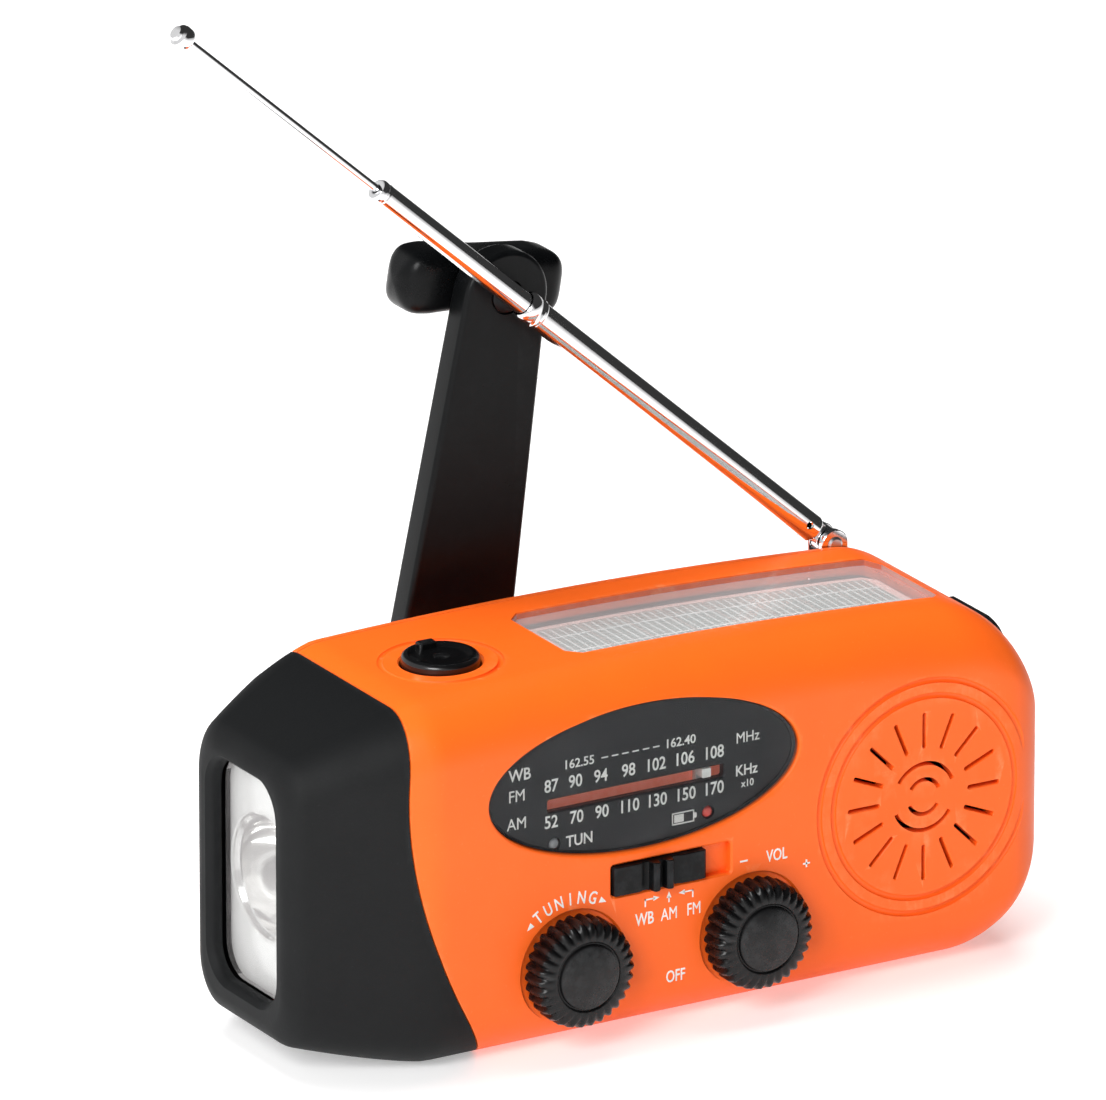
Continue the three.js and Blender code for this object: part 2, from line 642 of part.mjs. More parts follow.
function buildControls() {
  buildKnob("tuning", TUNING_X);
  buildKnob("volume", VOLUME_X);
  const partFront = FRONT_Y + 4.7;
  const partBack = BOARD_Y.y0 - 0.2;
  const capacitor = box(TUNING_X - 6, TUNING_X + 6, partFront, partBack, KNOB.z - 6, KNOB.z + 6);
  add("tuning_capacitor", capacitor, NYLON);
  const pot = cylinder("y", 6.2, partFront, partBack, VOLUME_X, KNOB.z, 32);
  add("volume_control", pot, STEEL);

  const sliderX1 = BAND_SLOT.x0 + 0.2 + SLIDER_WIDTH;
  const middle = (BAND_SLOT.x0 + 0.2 + sliderX1) / 2;
  const half = BAND_SLOT.height / 2 - 0.2;
  const zs = [BAND_SLOT.z - half, BAND_SLOT.z + half];
  let slider = box(BAND_SLOT.x0 + 0.2, sliderX1, -23.1, BAND_SLOT.floor - 0.15, ...zs);
  for (const side of [-1, 1]) {
    const x = middle + side * 1.2;
    slider = slider.add(box(x - 0.7, x + 0.7, -24.3, -23, ...zs));
  }
  const stem = [BAND_SLOT.z - 0.8, BAND_SLOT.z + 0.8];
  slider = slider.add(box(middle - 2.4, middle + 2.4, BAND_SLOT.floor - 0.5, -17.2, ...stem));
  add("band_slider", slider, BLACK_PLASTIC);
  const switchBody = box(middle - 8, middle + 12, -16.9, partBack, BAND_SLOT.z - 3, BAND_SLOT.z + 3);
  add("band_switch", switchBody, STEEL);
}

// ---------- Speaker ----------
function buildSpeaker() {
  const place = (body) => body.translate([SPEAKER.x, 0, SPEAKER.z]);
  // Lathe heights run from the front face of the speaker towards the back of the radio.
  const front = FRONT_Y + WALL + 0.9;
  const basket = lathe([
    [14.3, 0],
    [15.4, 0],
    [15.4, 1.2],
    [14.9, 1.6],
    [8, 7.6],
    [5.4, 7.6],
    [5.4, 6.6],
    [7.2, 6.6],
    [14.3, 0.9],
    [14.3, 0],
  ], 28);
  add("speaker_frame", place(basket.translate([0, front, 0])), STEEL);
  const cone = lathe([
    [0, 3.2],
    [3, 3.6],
    [4.2, 5.4],
    [13.6, 0.3],
    [13.9, 0.5],
    [4.4, 6.2],
    [0, 6.2],
  ], 24);
  add("speaker_cone", place(cone.translate([0, front, 0])), PAPER);
  add("speaker_magnet", place(cylinder("y", 9, front + 7.9, front + 12, 0, 0, 32)), STEEL);
}

// ---------- Electronics ----------
function buildElectronics() {
  add("main_board", box(-29.6, 19.5, BOARD_Y.y0, BOARD_Y.y1, 5.5, 34), BOARD_GREEN);
  [-2.4, 8.6].forEach((y, i) => {
    const can = cylinder("x", 5.2, -8, 34, y, 8.2, 24);
    const nub = cylinder("x", 1.8, 33.9, 35.4, y, 8.2, 12);
    add(`battery_cell_${i + 1}`, can.add(nub), LABEL_GREEN);
  });
  add("ferrite_rod", cylinder("x", 3.5, -22, 30, -5, 47.3, 20), FERRITE);
  const winding = cylinder("x", 4.3, -6, 10, -5, 47.3, 24).subtract(cylinder("x", 3.7, -7, 11, -5, 47.3, 24));
  add("ferrite_coil", winding, COPPER);
}

// ---------- Sockets and their cover ----------
const OUTLET = { y: -2.5, z0: 30.5, z1: 43.7, width: 5.8 };
const CHARGE = { y: -2.5, z0: 23, z1: 28.4, width: 4.4 };

function socketOpenings() {
  const holes = [OUTLET, CHARGE].map(({ y, z0, z1, width }) =>
    box(52, 80, y - width / 2 - GAP, y + width / 2 + GAP, z0 - GAP, z1 + GAP),
  );
  return Manifold.union(holes);
}

function buildSockets() {
  const face = bodyForm(0.4);
  for (const [name, { y, z0, z1, width }, thick] of [
    ["usb_outlet", OUTLET, 0.35],
    ["charging_socket", CHARGE, 0.5],
  ]) {
    const shell = box(51.5, 70, y - width / 2, y + width / 2, z0, z1).intersect(face);
    const mouth = box(53, 80, y - width / 2 + thick, y + width / 2 - thick, z0 + thick, z1 - thick);
    add(name, shell.subtract(mouth), STEEL);
  }
  // The cover is a rubber skin that lies on the rounded end of the shell.
  const region = box(40, 80, COVER.y0, COVER.y1, COVER.z0, COVER.z1);
  const skin = bodyForm(-GAP - COVER.thick).subtract(bodyForm(-GAP)).intersect(region);
  add("port_cover", skin, BLACK_RUBBER);
}

// ---------- Crank ----------
// The crank's group has its origin on the hub's axis. Its own z runs along the arm.
function buildCrank() {
  const crank = new THREE.Group();
  crank.position.set(HUB.x, 0, HUB.z);
  crank.rotation.y = CRANK_LEAN;
  radio.add(crank);

  const earIn = HINGE.width / 2 + GAP;
  const earOut = earIn + 2.4;
  const eyeBore = 1.3;
  let hub = cylinder("y", HUB.radius, HUB.front, HUB.back, 0, 0, 28);
  hub = hub.add(cylinder("y", SHAFT_RADIUS, PLATE.y0 + 0.3, HUB.front + 1, 0, 0));
  for (const [a, b] of [
    [-earOut, -earIn],
    [earIn, earOut],
  ]) {
    hub = hub.add(cylinder("x", 2.5, a, b, HINGE.y, HINGE.w, 20));
    hub = hub.add(box(a, b, HUB.back - 0.15, HINGE.y, HINGE.w - 2.5, HINGE.w + 2.5));
  }
  hub = hub.subtract(cylinder("x", eyeBore, -20, 20, HINGE.y, HINGE.w, 16));
  add("crank_hub", hub, BLACK_PLASTIC, crank);
  const pinShape = cylinder("x", 1.1, -earOut - 0.1, earOut + 0.1, HINGE.y, HINGE.w, 16);
  add("arm_hinge_pin", pinShape, STEEL, crank);

  add("crank_arm", armBody(eyeBore), BLACK_PLASTIC, crank);
  const rivetHead = cylinder("y", 2.4, ARM.front - 0.5, ARM.front + 0.4, 0, ARM.gripW, 20);
  const rivet = cylinder("y", 1.35, ARM.front, GRIP.y1 - 2, 0, ARM.gripW, 16);
  add("grip_pin", rivet.add(rivetHead), STEEL, crank);
  add("crank_grip", gripBody(), BLACK_PLASTIC, crank);

  const gear = spurGear(MAIN_TEETH, FIRST_PLANE.y0, FIRST_PLANE.y1, SHAFT_RADIUS + 0.2);
  const hubFlange = cylinder("y", 6, FIRST_PLANE.y0 - 3, FIRST_PLANE.y0 + 0.1, 0, 0, 24);
  const flangeBore = cylinder("y", SHAFT_RADIUS + 0.2, 0, 20, 0, 0, 24);
  add("main_gear", gear.add(hubFlange.subtract(flangeBore)), NYLON, crank);
}

function armBody(eyeBore) {
  const half = { root: ARM.rootWidth / 2, wide: ARM.wideWidth / 2, head: ARM.headWidth / 2 };
  const shape = new THREE.Shape();
  shape.moveTo(-half.root, HINGE.w);
  shape.lineTo(half.root, HINGE.w);
  shape.lineTo(half.root, HINGE.w + 3.4);
  shape.quadraticCurveTo(half.root, HINGE.w + 6, half.wide, HINGE.w + 9);
  shape.lineTo(half.head, ARM.gripW);
  shape.absarc(0, ARM.gripW, half.head, 0, Math.PI, false);
  shape.lineTo(-half.wide, HINGE.w + 9);
  shape.quadraticCurveTo(-half.root, HINGE.w + 6, -half.root, HINGE.w + 3.4);
  const bevel = 0.7;
  const geometry = new THREE.ExtrudeGeometry(shape, {
    depth: ARM.back - ARM.front - 2 * bevel,
    bevelThickness: bevel,
    bevelSize: bevel,
    bevelOffset: -bevel,
    bevelSegments: 1,
    curveSegments: 5,
  });
  geometry.rotateX(Math.PI / 2).translate(0, ARM.back - bevel, 0);
  const eye = cylinder("x", HINGE.radius, -half.root, half.root, HINGE.y, HINGE.w, 20);
  const squareEnd = box(-20, 20, 0, 40, 0, HINGE.w);
  return solid(geometry)
    .subtract(squareEnd)
    .add(eye)
    .subtract(cylinder("x", eyeBore, -20, 20, HINGE.y, HINGE.w, 16))
    .subtract(cylinder("y", 1.6, 0, 40, 0, ARM.gripW, 20))
    .subtract(cylinder("y", 2.7, 0, ARM.front + 0.7, 0, ARM.gripW, 20));
}

// The grip is a short bar with a waisted middle and a crowned back, turning on its pin.
function gripBody() {
  const half = GRIP.length / 2;
  const tall = GRIP.height / 2;
  const waist = tall - 0.9;
  const shape = new THREE.Shape();
  shape.moveTo(-half + 3, -tall);
  shape.quadraticCurveTo(0, -waist * 2 + tall, half - 3, -tall);
  shape.quadraticCurveTo(half, -tall, half, 0);
  shape.quadraticCurveTo(half, tall, half - 3, tall);
  shape.quadraticCurveTo(0, waist * 2 - tall, -half + 3, tall);
  shape.quadraticCurveTo(-half, tall, -half, 0);
  shape.quadraticCurveTo(-half, -tall, -half + 3, -tall);
  const bevel = 2;
  const geometry = new THREE.ExtrudeGeometry(shape, {
    depth: GRIP.y1 - GRIP.y0 - 2 * bevel,
    bevelThickness: bevel,
    bevelSize: bevel,
    bevelOffset: -bevel,
    bevelSegments: 2,
    curveSegments: 4,
  });
  geometry.rotateX(Math.PI / 2).translate(0, GRIP.y1 - bevel, 0);
  return solid(geometry)
    .subtract(cylinder("y", GRIP.bore, 0, GRIP.y1 - 1.6, 0, 0, 20))
    .translate([0, 0, ARM.gripW]);
}

// ---------- Gears ----------
// A spur gear about the Y axis with straight-sided teeth and a little play.
function spurGear(teeth, y0, y1, bore, turn = 0) {
  const pitch = (MODULE * teeth) / 2;
  const tip = pitch + 0.8 * MODULE;
  const root = pitch - 1.1 * MODULE;
  const step = (2 * Math.PI) / teeth;
  const shape = new THREE.Shape();
  for (let i = 0; i < teeth; i++) {
    const centre = turn + i * step;
    const corners = [
      [root, -0.31],
      [tip, -0.1],
      [tip, 0.1],
      [root, 0.31],
    ];
    corners.forEach(([radius, share], j) => {
      const angle = centre + share * step;
      const point = [radius * Math.cos(angle), radius * Math.sin(angle)];
      if (i === 0 && j === 0) shape.moveTo(...point);
      else shape.lineTo(...point);
    });
  }
  const blank = alongY(shape, y0, y1);
  return bore > 0 ? blank.subtract(cylinder("y", bore, y0 - 1, y1 + 1, 0, 0, 24)) : blank;
}

function buildDynamo() {
  const mid = new THREE.Group();
  mid.position.set(MID_X, 0, HUB.z);
  radio.add(mid);
  // The main gear leans with the crank, so the middle pinion's tooth gap is set to match it.
  const mainPhase = -CRANK_LEAN;
  const leanShare = (mainPhase * MAIN_TEETH) / PINION_TEETH;
  const pinionStep = (2 * Math.PI) / PINION_TEETH;
  const pinionTurn = Math.PI + pinionStep / 2 - leanShare;
  const pinion = spurGear(PINION_TEETH, FIRST_PLANE.y0 - 1, FIRST_PLANE.y1, 0, pinionTurn);
  const wheel = spurGear(WHEEL_TEETH, SECOND_PLANE.y0, SECOND_PLANE.y1, 0, 0);
  const axle = cylinder("y", 1.4, PLATE.y0 + 0.2, FIRST_PLANE.y1 + 3.4, 0, 0, 16);
  add("middle_gear", pinion.add(wheel).add(axle), NYLON, mid);

  const rotor = new THREE.Group();
  rotor.position.set(ROTOR_X, 0, HUB.z);
  radio.add(rotor);
  const rotorTurn = Math.PI + pinionStep / 2;
  const rotorPinion = spurGear(PINION_TEETH, SECOND_PLANE.y0 - 0.2, SECOND_PLANE.y1, 0, rotorTurn);
  const spindle = cylinder("y", 1.2, -4.4, SECOND_PLANE.y0, 0, 0, 16);
  const magnet = cylinder("y", 6, -3.2, 3.4, 0, 0, 24);
  add("dynamo_rotor", rotorPinion.add(spindle).add(magnet), STEEL, rotor);

  const can = cylinder("y", 10.5, -5.4, 4.6, ROTOR_X, HUB.z, 32)
    .subtract(cylinder("y", 6.6, -4.2, 3.9, ROTOR_X, HUB.z, 24))
    .subtract(cylinder("y", 1.4, -6, 6, ROTOR_X, HUB.z, 16));
  add("dynamo_stator", can, COPPER);

  const plateShape = rectangle(HUB.x - 8, ROTOR_X + 11, HUB.z - 12, HUB.z + 12, 4);
  const plate = alongY(plateShape, PLATE.y0, PLATE.y1, 4)
    .subtract(cylinder("y", SHAFT_RADIUS + 0.15, 0, 20, HUB.x, HUB.z))
    .subtract(cylinder("y", 1.55, 0, 20, MID_X, HUB.z, 16))
    .subtract(cylinder("y", 1.4, 0, 20, ROTOR_X, HUB.z, 16));
  add("gearbox_plate", plate, STEEL);
}

// ---------- Antenna ----------
function buildAntenna() {
  const { x, y, z } = ANTENNA;
  const earThick = 1;
  const tongue = 2.4;
  const foot = box(x - 3.9, x + 4.2, RABBET.y + 0.3, 20.9, RABBET.z - 2.5, RABBET.z + 0.1);
  const ears = [-1, 1].map((side) => {
    const inner = y + side * (tongue / 2 + 0.2);
    const outer = inner + side * earThick;
    const low = Math.min(inner, outer);
    const high = Math.max(inner, outer);
    return cylinder("y", 2.3, low, high, x, z, 20).add(box(x - 2.3, x + 2.3, low, high, RABBET.z, z));
  });
  const bracket = foot.add(Manifold.union(ears)).subtract(cylinder("y", 1.1, 0, 40, x, z, 16));
  add("antenna_bracket", bracket, CHROME);
  add("antenna_hinge_pin", cylinder("y", 0.9, y - 2.5, y + 2.5, x, z, 16), STEEL);

  const antenna = new THREE.Group();
  antenna.position.set(x, y, z);
  antenna.rotation.y = -(Math.PI - ANTENNA.tilt);
  radio.add(antenna);

  const eye = cylinder("y", 2.1, -tongue / 2, tongue / 2, 0, 0, 20);
  const neck = box(0, OUTER_TUBE.start + 0.6, -tongue / 2, tongue / 2, -1.5, 1.5);
  const outer = latheX([
    [0, OUTER_TUBE.start],
    [1.9, OUTER_TUBE.start],
    [OUTER_TUBE.radius, OUTER_TUBE.start + 0.5],
    [OUTER_TUBE.radius, OUTER_TUBE.end - 3],
    [OUTER_TUBE.radius + 0.2, OUTER_TUBE.end - 2.6],
    [OUTER_TUBE.radius + 0.2, OUTER_TUBE.end - 0.6],
    [OUTER_TUBE.radius, OUTER_TUBE.end],
    [OUTER_TUBE.bore, OUTER_TUBE.end],
    [OUTER_TUBE.bore, OUTER_TUBE.floor],
    [0, OUTER_TUBE.floor],
  ]);
  const foldPiece = outer.add(eye).add(neck).subtract(cylinder("y", 1.1, -5, 5, 0, 0, 16));
  add("antenna_outer_tube", foldPiece, CHROME, antenna);

  const inner = latheX([
    [0, INNER_TUBE.start],
    [INNER_TUBE.radius, INNER_TUBE.start],
    [INNER_TUBE.radius, INNER_TUBE.end - 0.4],
    [INNER_TUBE.radius - 0.3, INNER_TUBE.end],
    [INNER_TUBE.bore, INNER_TUBE.end],
    [INNER_TUBE.bore, INNER_TUBE.floor],
    [0, INNER_TUBE.floor],
  ], 20);
  add("antenna_inner_tube", inner, CHROME, antenna);

  const rod = latheX([
    [0, ROD.start],
    [ROD.radius, ROD.start],
    [ROD.radius, ROD.end],
    [0, ROD.end],
  ], 12);
  add("antenna_rod", rod, CHROME, antenna);
  const tip = latheX([
    [0, ROD.end + GAP],
    [1.1, ROD.end + GAP],
    [TIP_RADIUS, ROD.end + 1.2],
    [TIP_RADIUS, ROD.end + 2.4],
    [1.1, ROD.end + 3.4],
    [0, ROD.end + 3.5],
  ], 20);
  add("antenna_tip", tip, CHROME, antenna);
}

buildShells();
buildTorch();
buildSolar();
buildTorchButton();
buildDial();
buildControls();
buildSpeaker();
buildElectronics();
buildSockets();
buildCrank();
buildDynamo();
buildAntenna();

export default radio;
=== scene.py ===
# Visual model of the hand-crank emergency radio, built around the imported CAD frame.
# Shapes are written in millimetres and stored in metres. +X runs from the torch to the speaker,
# -Y is the front, +Z is up.
from math import copysign, cos, hypot, pi, radians, sin, sqrt

import bmesh
import bpy
import numpy as np
from mathutils import Matrix, Vector


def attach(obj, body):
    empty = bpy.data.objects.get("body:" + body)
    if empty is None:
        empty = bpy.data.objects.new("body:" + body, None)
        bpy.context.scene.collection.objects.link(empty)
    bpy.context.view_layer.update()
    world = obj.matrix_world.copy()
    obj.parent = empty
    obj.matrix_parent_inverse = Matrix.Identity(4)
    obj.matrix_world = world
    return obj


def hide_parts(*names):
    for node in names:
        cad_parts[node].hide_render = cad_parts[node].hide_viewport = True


MM = 0.001
# Stands for a zero radius, so that a turned profile closes at its axis.
SPECK = 0.001

# ---------- Dimensions ----------
TORCH_END, SPEAKER_END = -64, 62.2
HALF_DEPTH, HEIGHT = 22.5, 56.6
WALL, EDGE_RADIUS = 2.2, 9
FRONT_Y, BACK_Y = -HALF_DEPTH, HALF_DEPTH
PARTING_Y = 14
TOP_ARCH, CROWN_X, ARCH_SPAN = 2.6, -14, 64
# Each part's share of the gap between the torch head and the shells, and between the two shells.
HEAD_GAP, SHELL_GAP = 0.12, 0.1
CHAMFER = 0.4
# Further out than any part of the case.
FAR = 90

HUB_X, HUB_Z, HUB_BORE = -17, 29, 12.5
CRANK_LEAN = radians(9.5)
ARM_FRONT, ARM_BACK = 23.25, 27.95
# The arm's fold axis and its grip, in the crank's own frame, with the arm straight up from the origin.
FOLD_Y, FOLD_Z, FOLD_BORE = 25.6, 5, 1.3
GRIP_Y, GRIP_Z, GRIP_BORE = 33, 72, 1.6
ANTENNA_AT = Vector((47, 18.2, 54.2))
ANTENNA_TILT = radians(41.5)
LEDGE_Y, LEDGE_Z, LEDGE_END = 15.4, 51.3, 51.5
POCKET_X0, POCKET_X1, POCKET_Z0, POCKET_Z1 = 39.5, 50.5, 14.5, 43.5
SCREWS = ((-33, 7.2), (-42.2, 47), (55, 10.5), (54.6, 47))

DIAL_X, DIAL_Z, DIAL_A, DIAL_B = -8.7, 40.2, 26.3, 11.2
SLOT_X0, SLOT_X1, SLOT_Z = -24.5, 5.4, 38.1
POINTER_X = 2.7
LIGHT_Z, TUNE_LIGHT_X, CHARGE_LIGHT_X = 32.1, -23.4, 2.7
TUNING_X, VOLUME_X, KNOB_Z = -20.9, 9.6, 12.8
BAND_X0, BAND_X1, BAND_FLOOR = -14.5, 5.9, -21.1
BAND_Z, BAND_TALL = 24.9, 4.9
SPEAKER_X, SPEAKER_Z = 39.1, 28
SOLAR_X0, SOLAR_X1, SOLAR_Y0, SOLAR_Y1 = -14.5, 49.5, -11, 8.5
BUTTON_X, BUTTON_Y, BUTTON_RADIUS, BUTTON_RING = -32, -3, 5.85, 8.9
TORCH_Z, TORCH_WIDE, TORCH_TALL, TORCH_CORNER, PLATE_X = 27, 19, 34.2, 5, -59.8
# The sockets behind the rubber cover: lower edge, upper edge and width.
PORT_Y = -2.5
USB_PORT, CHARGE_PORT = (30.5, 43.7, 5.8), (23, 28.4, 4.4)

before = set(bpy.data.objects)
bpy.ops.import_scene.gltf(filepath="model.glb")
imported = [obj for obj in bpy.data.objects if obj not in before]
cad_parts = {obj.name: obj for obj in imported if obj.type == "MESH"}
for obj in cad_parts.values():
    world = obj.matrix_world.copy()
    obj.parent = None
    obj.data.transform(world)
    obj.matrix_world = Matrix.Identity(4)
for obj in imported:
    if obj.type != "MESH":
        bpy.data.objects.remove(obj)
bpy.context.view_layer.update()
COLLECTION = bpy.context.scene.collection


# ---------- Mesh helpers ----------
def linked(data):
    obj = bpy.data.objects.new("part", data)
    COLLECTION.objects.link(obj)
    return obj


def mesh_object(verts, faces):
    mesh = bpy.data.meshes.new("part")
    mesh.from_pydata([tuple(c * MM for c in v) for v in verts], [], faces)
    mesh.validate()
    bm = bmesh.new()
    bm.from_mesh(mesh)
    bmesh.ops.remove_doubles(bm, verts=bm.verts, dist=1e-7)
    bmesh.ops.recalc_face_normals(bm, faces=bm.faces)
    bm.to_mesh(mesh)
    bm.free()
    return linked(mesh)


def drop(obj):
    mesh = obj.data
    bpy.data.objects.remove(obj)
    bpy.data.meshes.remove(mesh)


def evaluated_mesh(obj):
    """A new mesh of what an object's modifiers or text settings make."""
    graph = bpy.context.evaluated_depsgraph_get()
    graph.update()
    return bpy.data.meshes.new_from_object(obj.evaluated_get(graph))


def boolean(obj, other, operation, keep=False):
    modifier = obj.modifiers.new("cut", "BOOLEAN")
    modifier.operation = operation
    modifier.solver = "MANIFOLD"
    modifier.object = other
    made, old = evaluated_mesh(obj), obj.data
    obj.modifiers.clear()
    obj.data = made
    bpy.data.meshes.remove(old)
    if not keep:
        drop(other)
    return obj


def cut(obj, *tools):
    for tool in tools:
        boolean(obj, tool, "DIFFERENCE")
    return obj


def add(obj, *tools):
    for tool in tools:
        boolean(obj, tool, "UNION")
    return obj


def joined(parts):
    """Several meshes as one object, without merging them."""
    bm = bmesh.new()
    for part in parts:
        bm.from_mesh(part.data)
        drop(part)
    mesh = bpy.data.meshes.new("part")
    bm.to_mesh(mesh)
    bm.free()
    return linked(mesh)


def loft(rings, loop=False):
    """A skin through rings of equally many points, with flat ends or closed into a loop."""
    count = len(rings[0])
    verts = [p for ring in rings for p in ring]
    faces = []
    last = len(rings) if loop else len(rings) - 1
    for i in range(last):
        k = (i + 1) % len(rings)
        for j in range(count):
            n = (j + 1) % count
            faces.append((i * count + j, i * count + n, k * count + n, k * count + j))
    if not loop:
        faces.append(tuple(range(count))[::-1])
        faces.append(tuple(range((len(rings) - 1) * count, len(rings) * count)))
    return mesh_object(verts, faces)


def on_plane(axis, point, level):
    """A point of a flat outline placed across an axis: x,z for y; x,y for z; y,z for x."""
    a, b = point
    return {"y": (a, level, b), "z": (a, b, level), "x": (level, a, b)}[axis]


def prism(outline, axis, levels):
    """An outline extruded along an axis. levels is a list of (position, outline growth)."""
    points = np.array(outline, float)
    edge = np.roll(points, -1, 0) - np.roll(points, 1, 0)
    normal = np.stack([edge[:, 1], -edge[:, 0]], 1)
    normal /= np.maximum(np.linalg.norm(normal, axis=1, keepdims=True), 1e-9)
    if np.sum(normal * (points - points.mean(axis=0))) < 0:
        normal = -normal
    return loft([[on_plane(axis, p, level) for p in points + normal * grow] for level, grow in levels])


def rectangle(a0, a1, b0, b1, radius, steps):
    """A rectangle with round corners."""
    corners = ((a1 - radius, b0 + radius, -90), (a1 - radius, b1 - radius, 0),
               (a0 + radius, b1 - radius, 90), (a0 + radius, b0 + radius, 180))
    return [p for ca, cb, start in corners for p in arc(ca, cb, radius, start, 90, steps)]


def arc(a, b, radius, start, sweep, steps):
    """Points along an arc, both ends included. Angles are in degrees."""
    turns = [radians(start + sweep * i / steps) for i in range(steps + 1)]
    return [(a + radius * cos(t), b + radius * sin(t)) for t in turns]


def oval(a, b, ra, rb, steps):
    turns = [2 * pi * i / steps for i in range(steps)]
    return [(a + ra * cos(t), b + rb * sin(t)) for t in turns]


def bezier(controls, steps):
    """Points along a Bezier curve, both ends included."""
    found = []
    for i in range(steps + 1):
        row = [np.array(c, float) for c in controls]
        while len(row) > 1:
            row = [p + (q - p) * i / steps for p, q in zip(row, row[1:])]
        found.append(tuple(row[0]))
    return found


def soft_ends(start, end, edge):
    """Levels of a prism whose two ends are bevelled."""
    return [(start, -edge), (start + edge, 0), (end - edge, 0), (end, -edge)]


def cylinder(axis, radius, start, end, a, b, steps, bevel=0):
    levels = soft_ends(start, end, bevel) if bevel else [(start, 0), (end, 0)]
    return prism(oval(a, b, radius, radius, steps), axis, levels)


def box(x0, x1, y0, y1, z0, z1):
    return prism([(x0, z0), (x1, z0), (x1, z1), (x0, z1)], "y", [(y0, 0), (y1, 0)])


def lathe(profile, axis, a, b, steps):
    """Turns (radius, position) pairs about a line parallel to an axis."""
    outlines = [(oval(a, b, max(r, SPECK), max(r, SPECK), steps), level) for r, level in profile]
    return loft([[on_plane(axis, p, level) for p in outline] for outline, level in outlines])


def ring_solid(section, axis, a, b, steps, flat=1):
    """Turns a closed section of (radius, position) pairs into a ring, flattened across when asked."""
    turns = [2 * pi * i / steps for i in range(steps)]
    return loft([[on_plane(axis, (a + r * cos(t), b + r * flat * sin(t)), level) for r, level in section]
                 for t in turns], loop=True)


def moved(obj, matrix):
    obj.data.transform(matrix)
    return obj


def piece(name, obj, material, node=None, body="casing", slot=None, angle=32, weighted=True):
    """Finishes a piece: name, material, shading, the body it rides on and the node it stands for."""
    obj.name = name
    obj.data.materials.clear()
    obj.data.materials.append(material)
    for polygon in obj.data.polygons:
        polygon.use_smooth = True
    obj.data.set_sharp_from_angle(angle=radians(angle))
    if weighted:
        modifier = obj.modifiers.new("normals", "WEIGHTED_NORMAL")
        modifier.keep_sharp = True
        modifier.weight = 80
    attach(obj, body)
    slot or SLOT_OF[material.name]
    if node:
        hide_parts(node)
    return obj


# ---------- Materials ----------
def srgb(hex_code):
    values = [int(hex_code[i:i + 2], 16) / 255 for i in (0, 2, 4)]
    return tuple(v / 12.92 if v <= 0.04045 else ((v + 0.055) / 1.055) ** 2.4 for v in values) + (1,)


def darker(colour, share):
    return tuple(c * share for c in colour[:3]) + (1,)


class Graph:
    """A node tree. Inputs take values or other nodes' outputs, and _ stands for a space in a name."""

    def __init__(self, owner):
        owner.use_nodes = True
        self.owner = owner
        self.nodes, self.links = owner.node_tree.nodes, owner.node_tree.links

    def put(self, socket, value):
        if isinstance(value, bpy.types.NodeSocket):
            self.links.new(value, socket)
        else:
            socket.default_value = value

    def set(self, node, **inputs):
        for key, value in inputs.items():
            self.put(node.inputs[key.replace("_", " ")], value)
        return node

    def add(self, kind, **inputs):
        return self.set(self.nodes.new("ShaderNode" + kind), **inputs)


class Material(Graph):
    """A principled material, with object-space coordinates in millimetres."""

    def __init__(self, name, **inputs):
        super().__init__(bpy.data.materials.new(name))
        self.shader = self.set(self.nodes["Principled BSDF"], **inputs)
        self.space = self.scaled(self.add("TexCoord").outputs["Object"], (1000, 1000, 1000))

    def scaled(self, source, scale):
        return self.add("Mapping", Vector=source, Scale=scale).outputs["Vector"]

    def noise(self, scale, detail=4, rough=0.55, stretch=None):
        space = self.scaled(self.space, stretch) if stretch else self.space
        node = self.add("TexNoise", Vector=space, Scale=scale, Detail=detail, Roughness=rough)
        return node.outputs["Fac"]

    def ramp(self, source, low, high, start=0, end=1):
        """Maps start..end of a source onto low..high."""
        node = self.add("MapRange", Value=source, From_Min=start, From_Max=end, To_Min=low, To_Max=high)
        return node.outputs["Result"]

    def math(self, operation, a, b):
        node = self.add("Math")
        node.operation = operation
        self.put(node.inputs[0], a)
        self.put(node.inputs[1], b)
        return node.outputs["Value"]

    def edges(self):
        """1 on worn outer edges, 0 elsewhere."""
        return self.ramp(self.add("NewGeometry").outputs["Pointiness"], 0, 1, 0.53, 0.62)

    def blend(self, share, first, second):
        node = self.add("Mix")
        node.data_type = "RGBA"
        self.put(node.inputs["Factor"], share)
        for key, value in (("A", first), ("B", second)):
            self.put([s for s in node.inputs if s.name == key and s.type == "RGBA"][0], value)
        return [s for s in node.outputs if s.type == "RGBA"][0]

    def bump(self, source, strength, distance):
        """Adds a bump on top of the one that is there."""
        node = self.add("Bump", Height=source, Strength=strength, Distance=distance * MM)
        normal = self.shader.inputs["Normal"]
        if normal.links:
            self.put(node.inputs["Normal"], normal.links[0].from_socket)
        self.put(normal, node.outputs["Normal"])


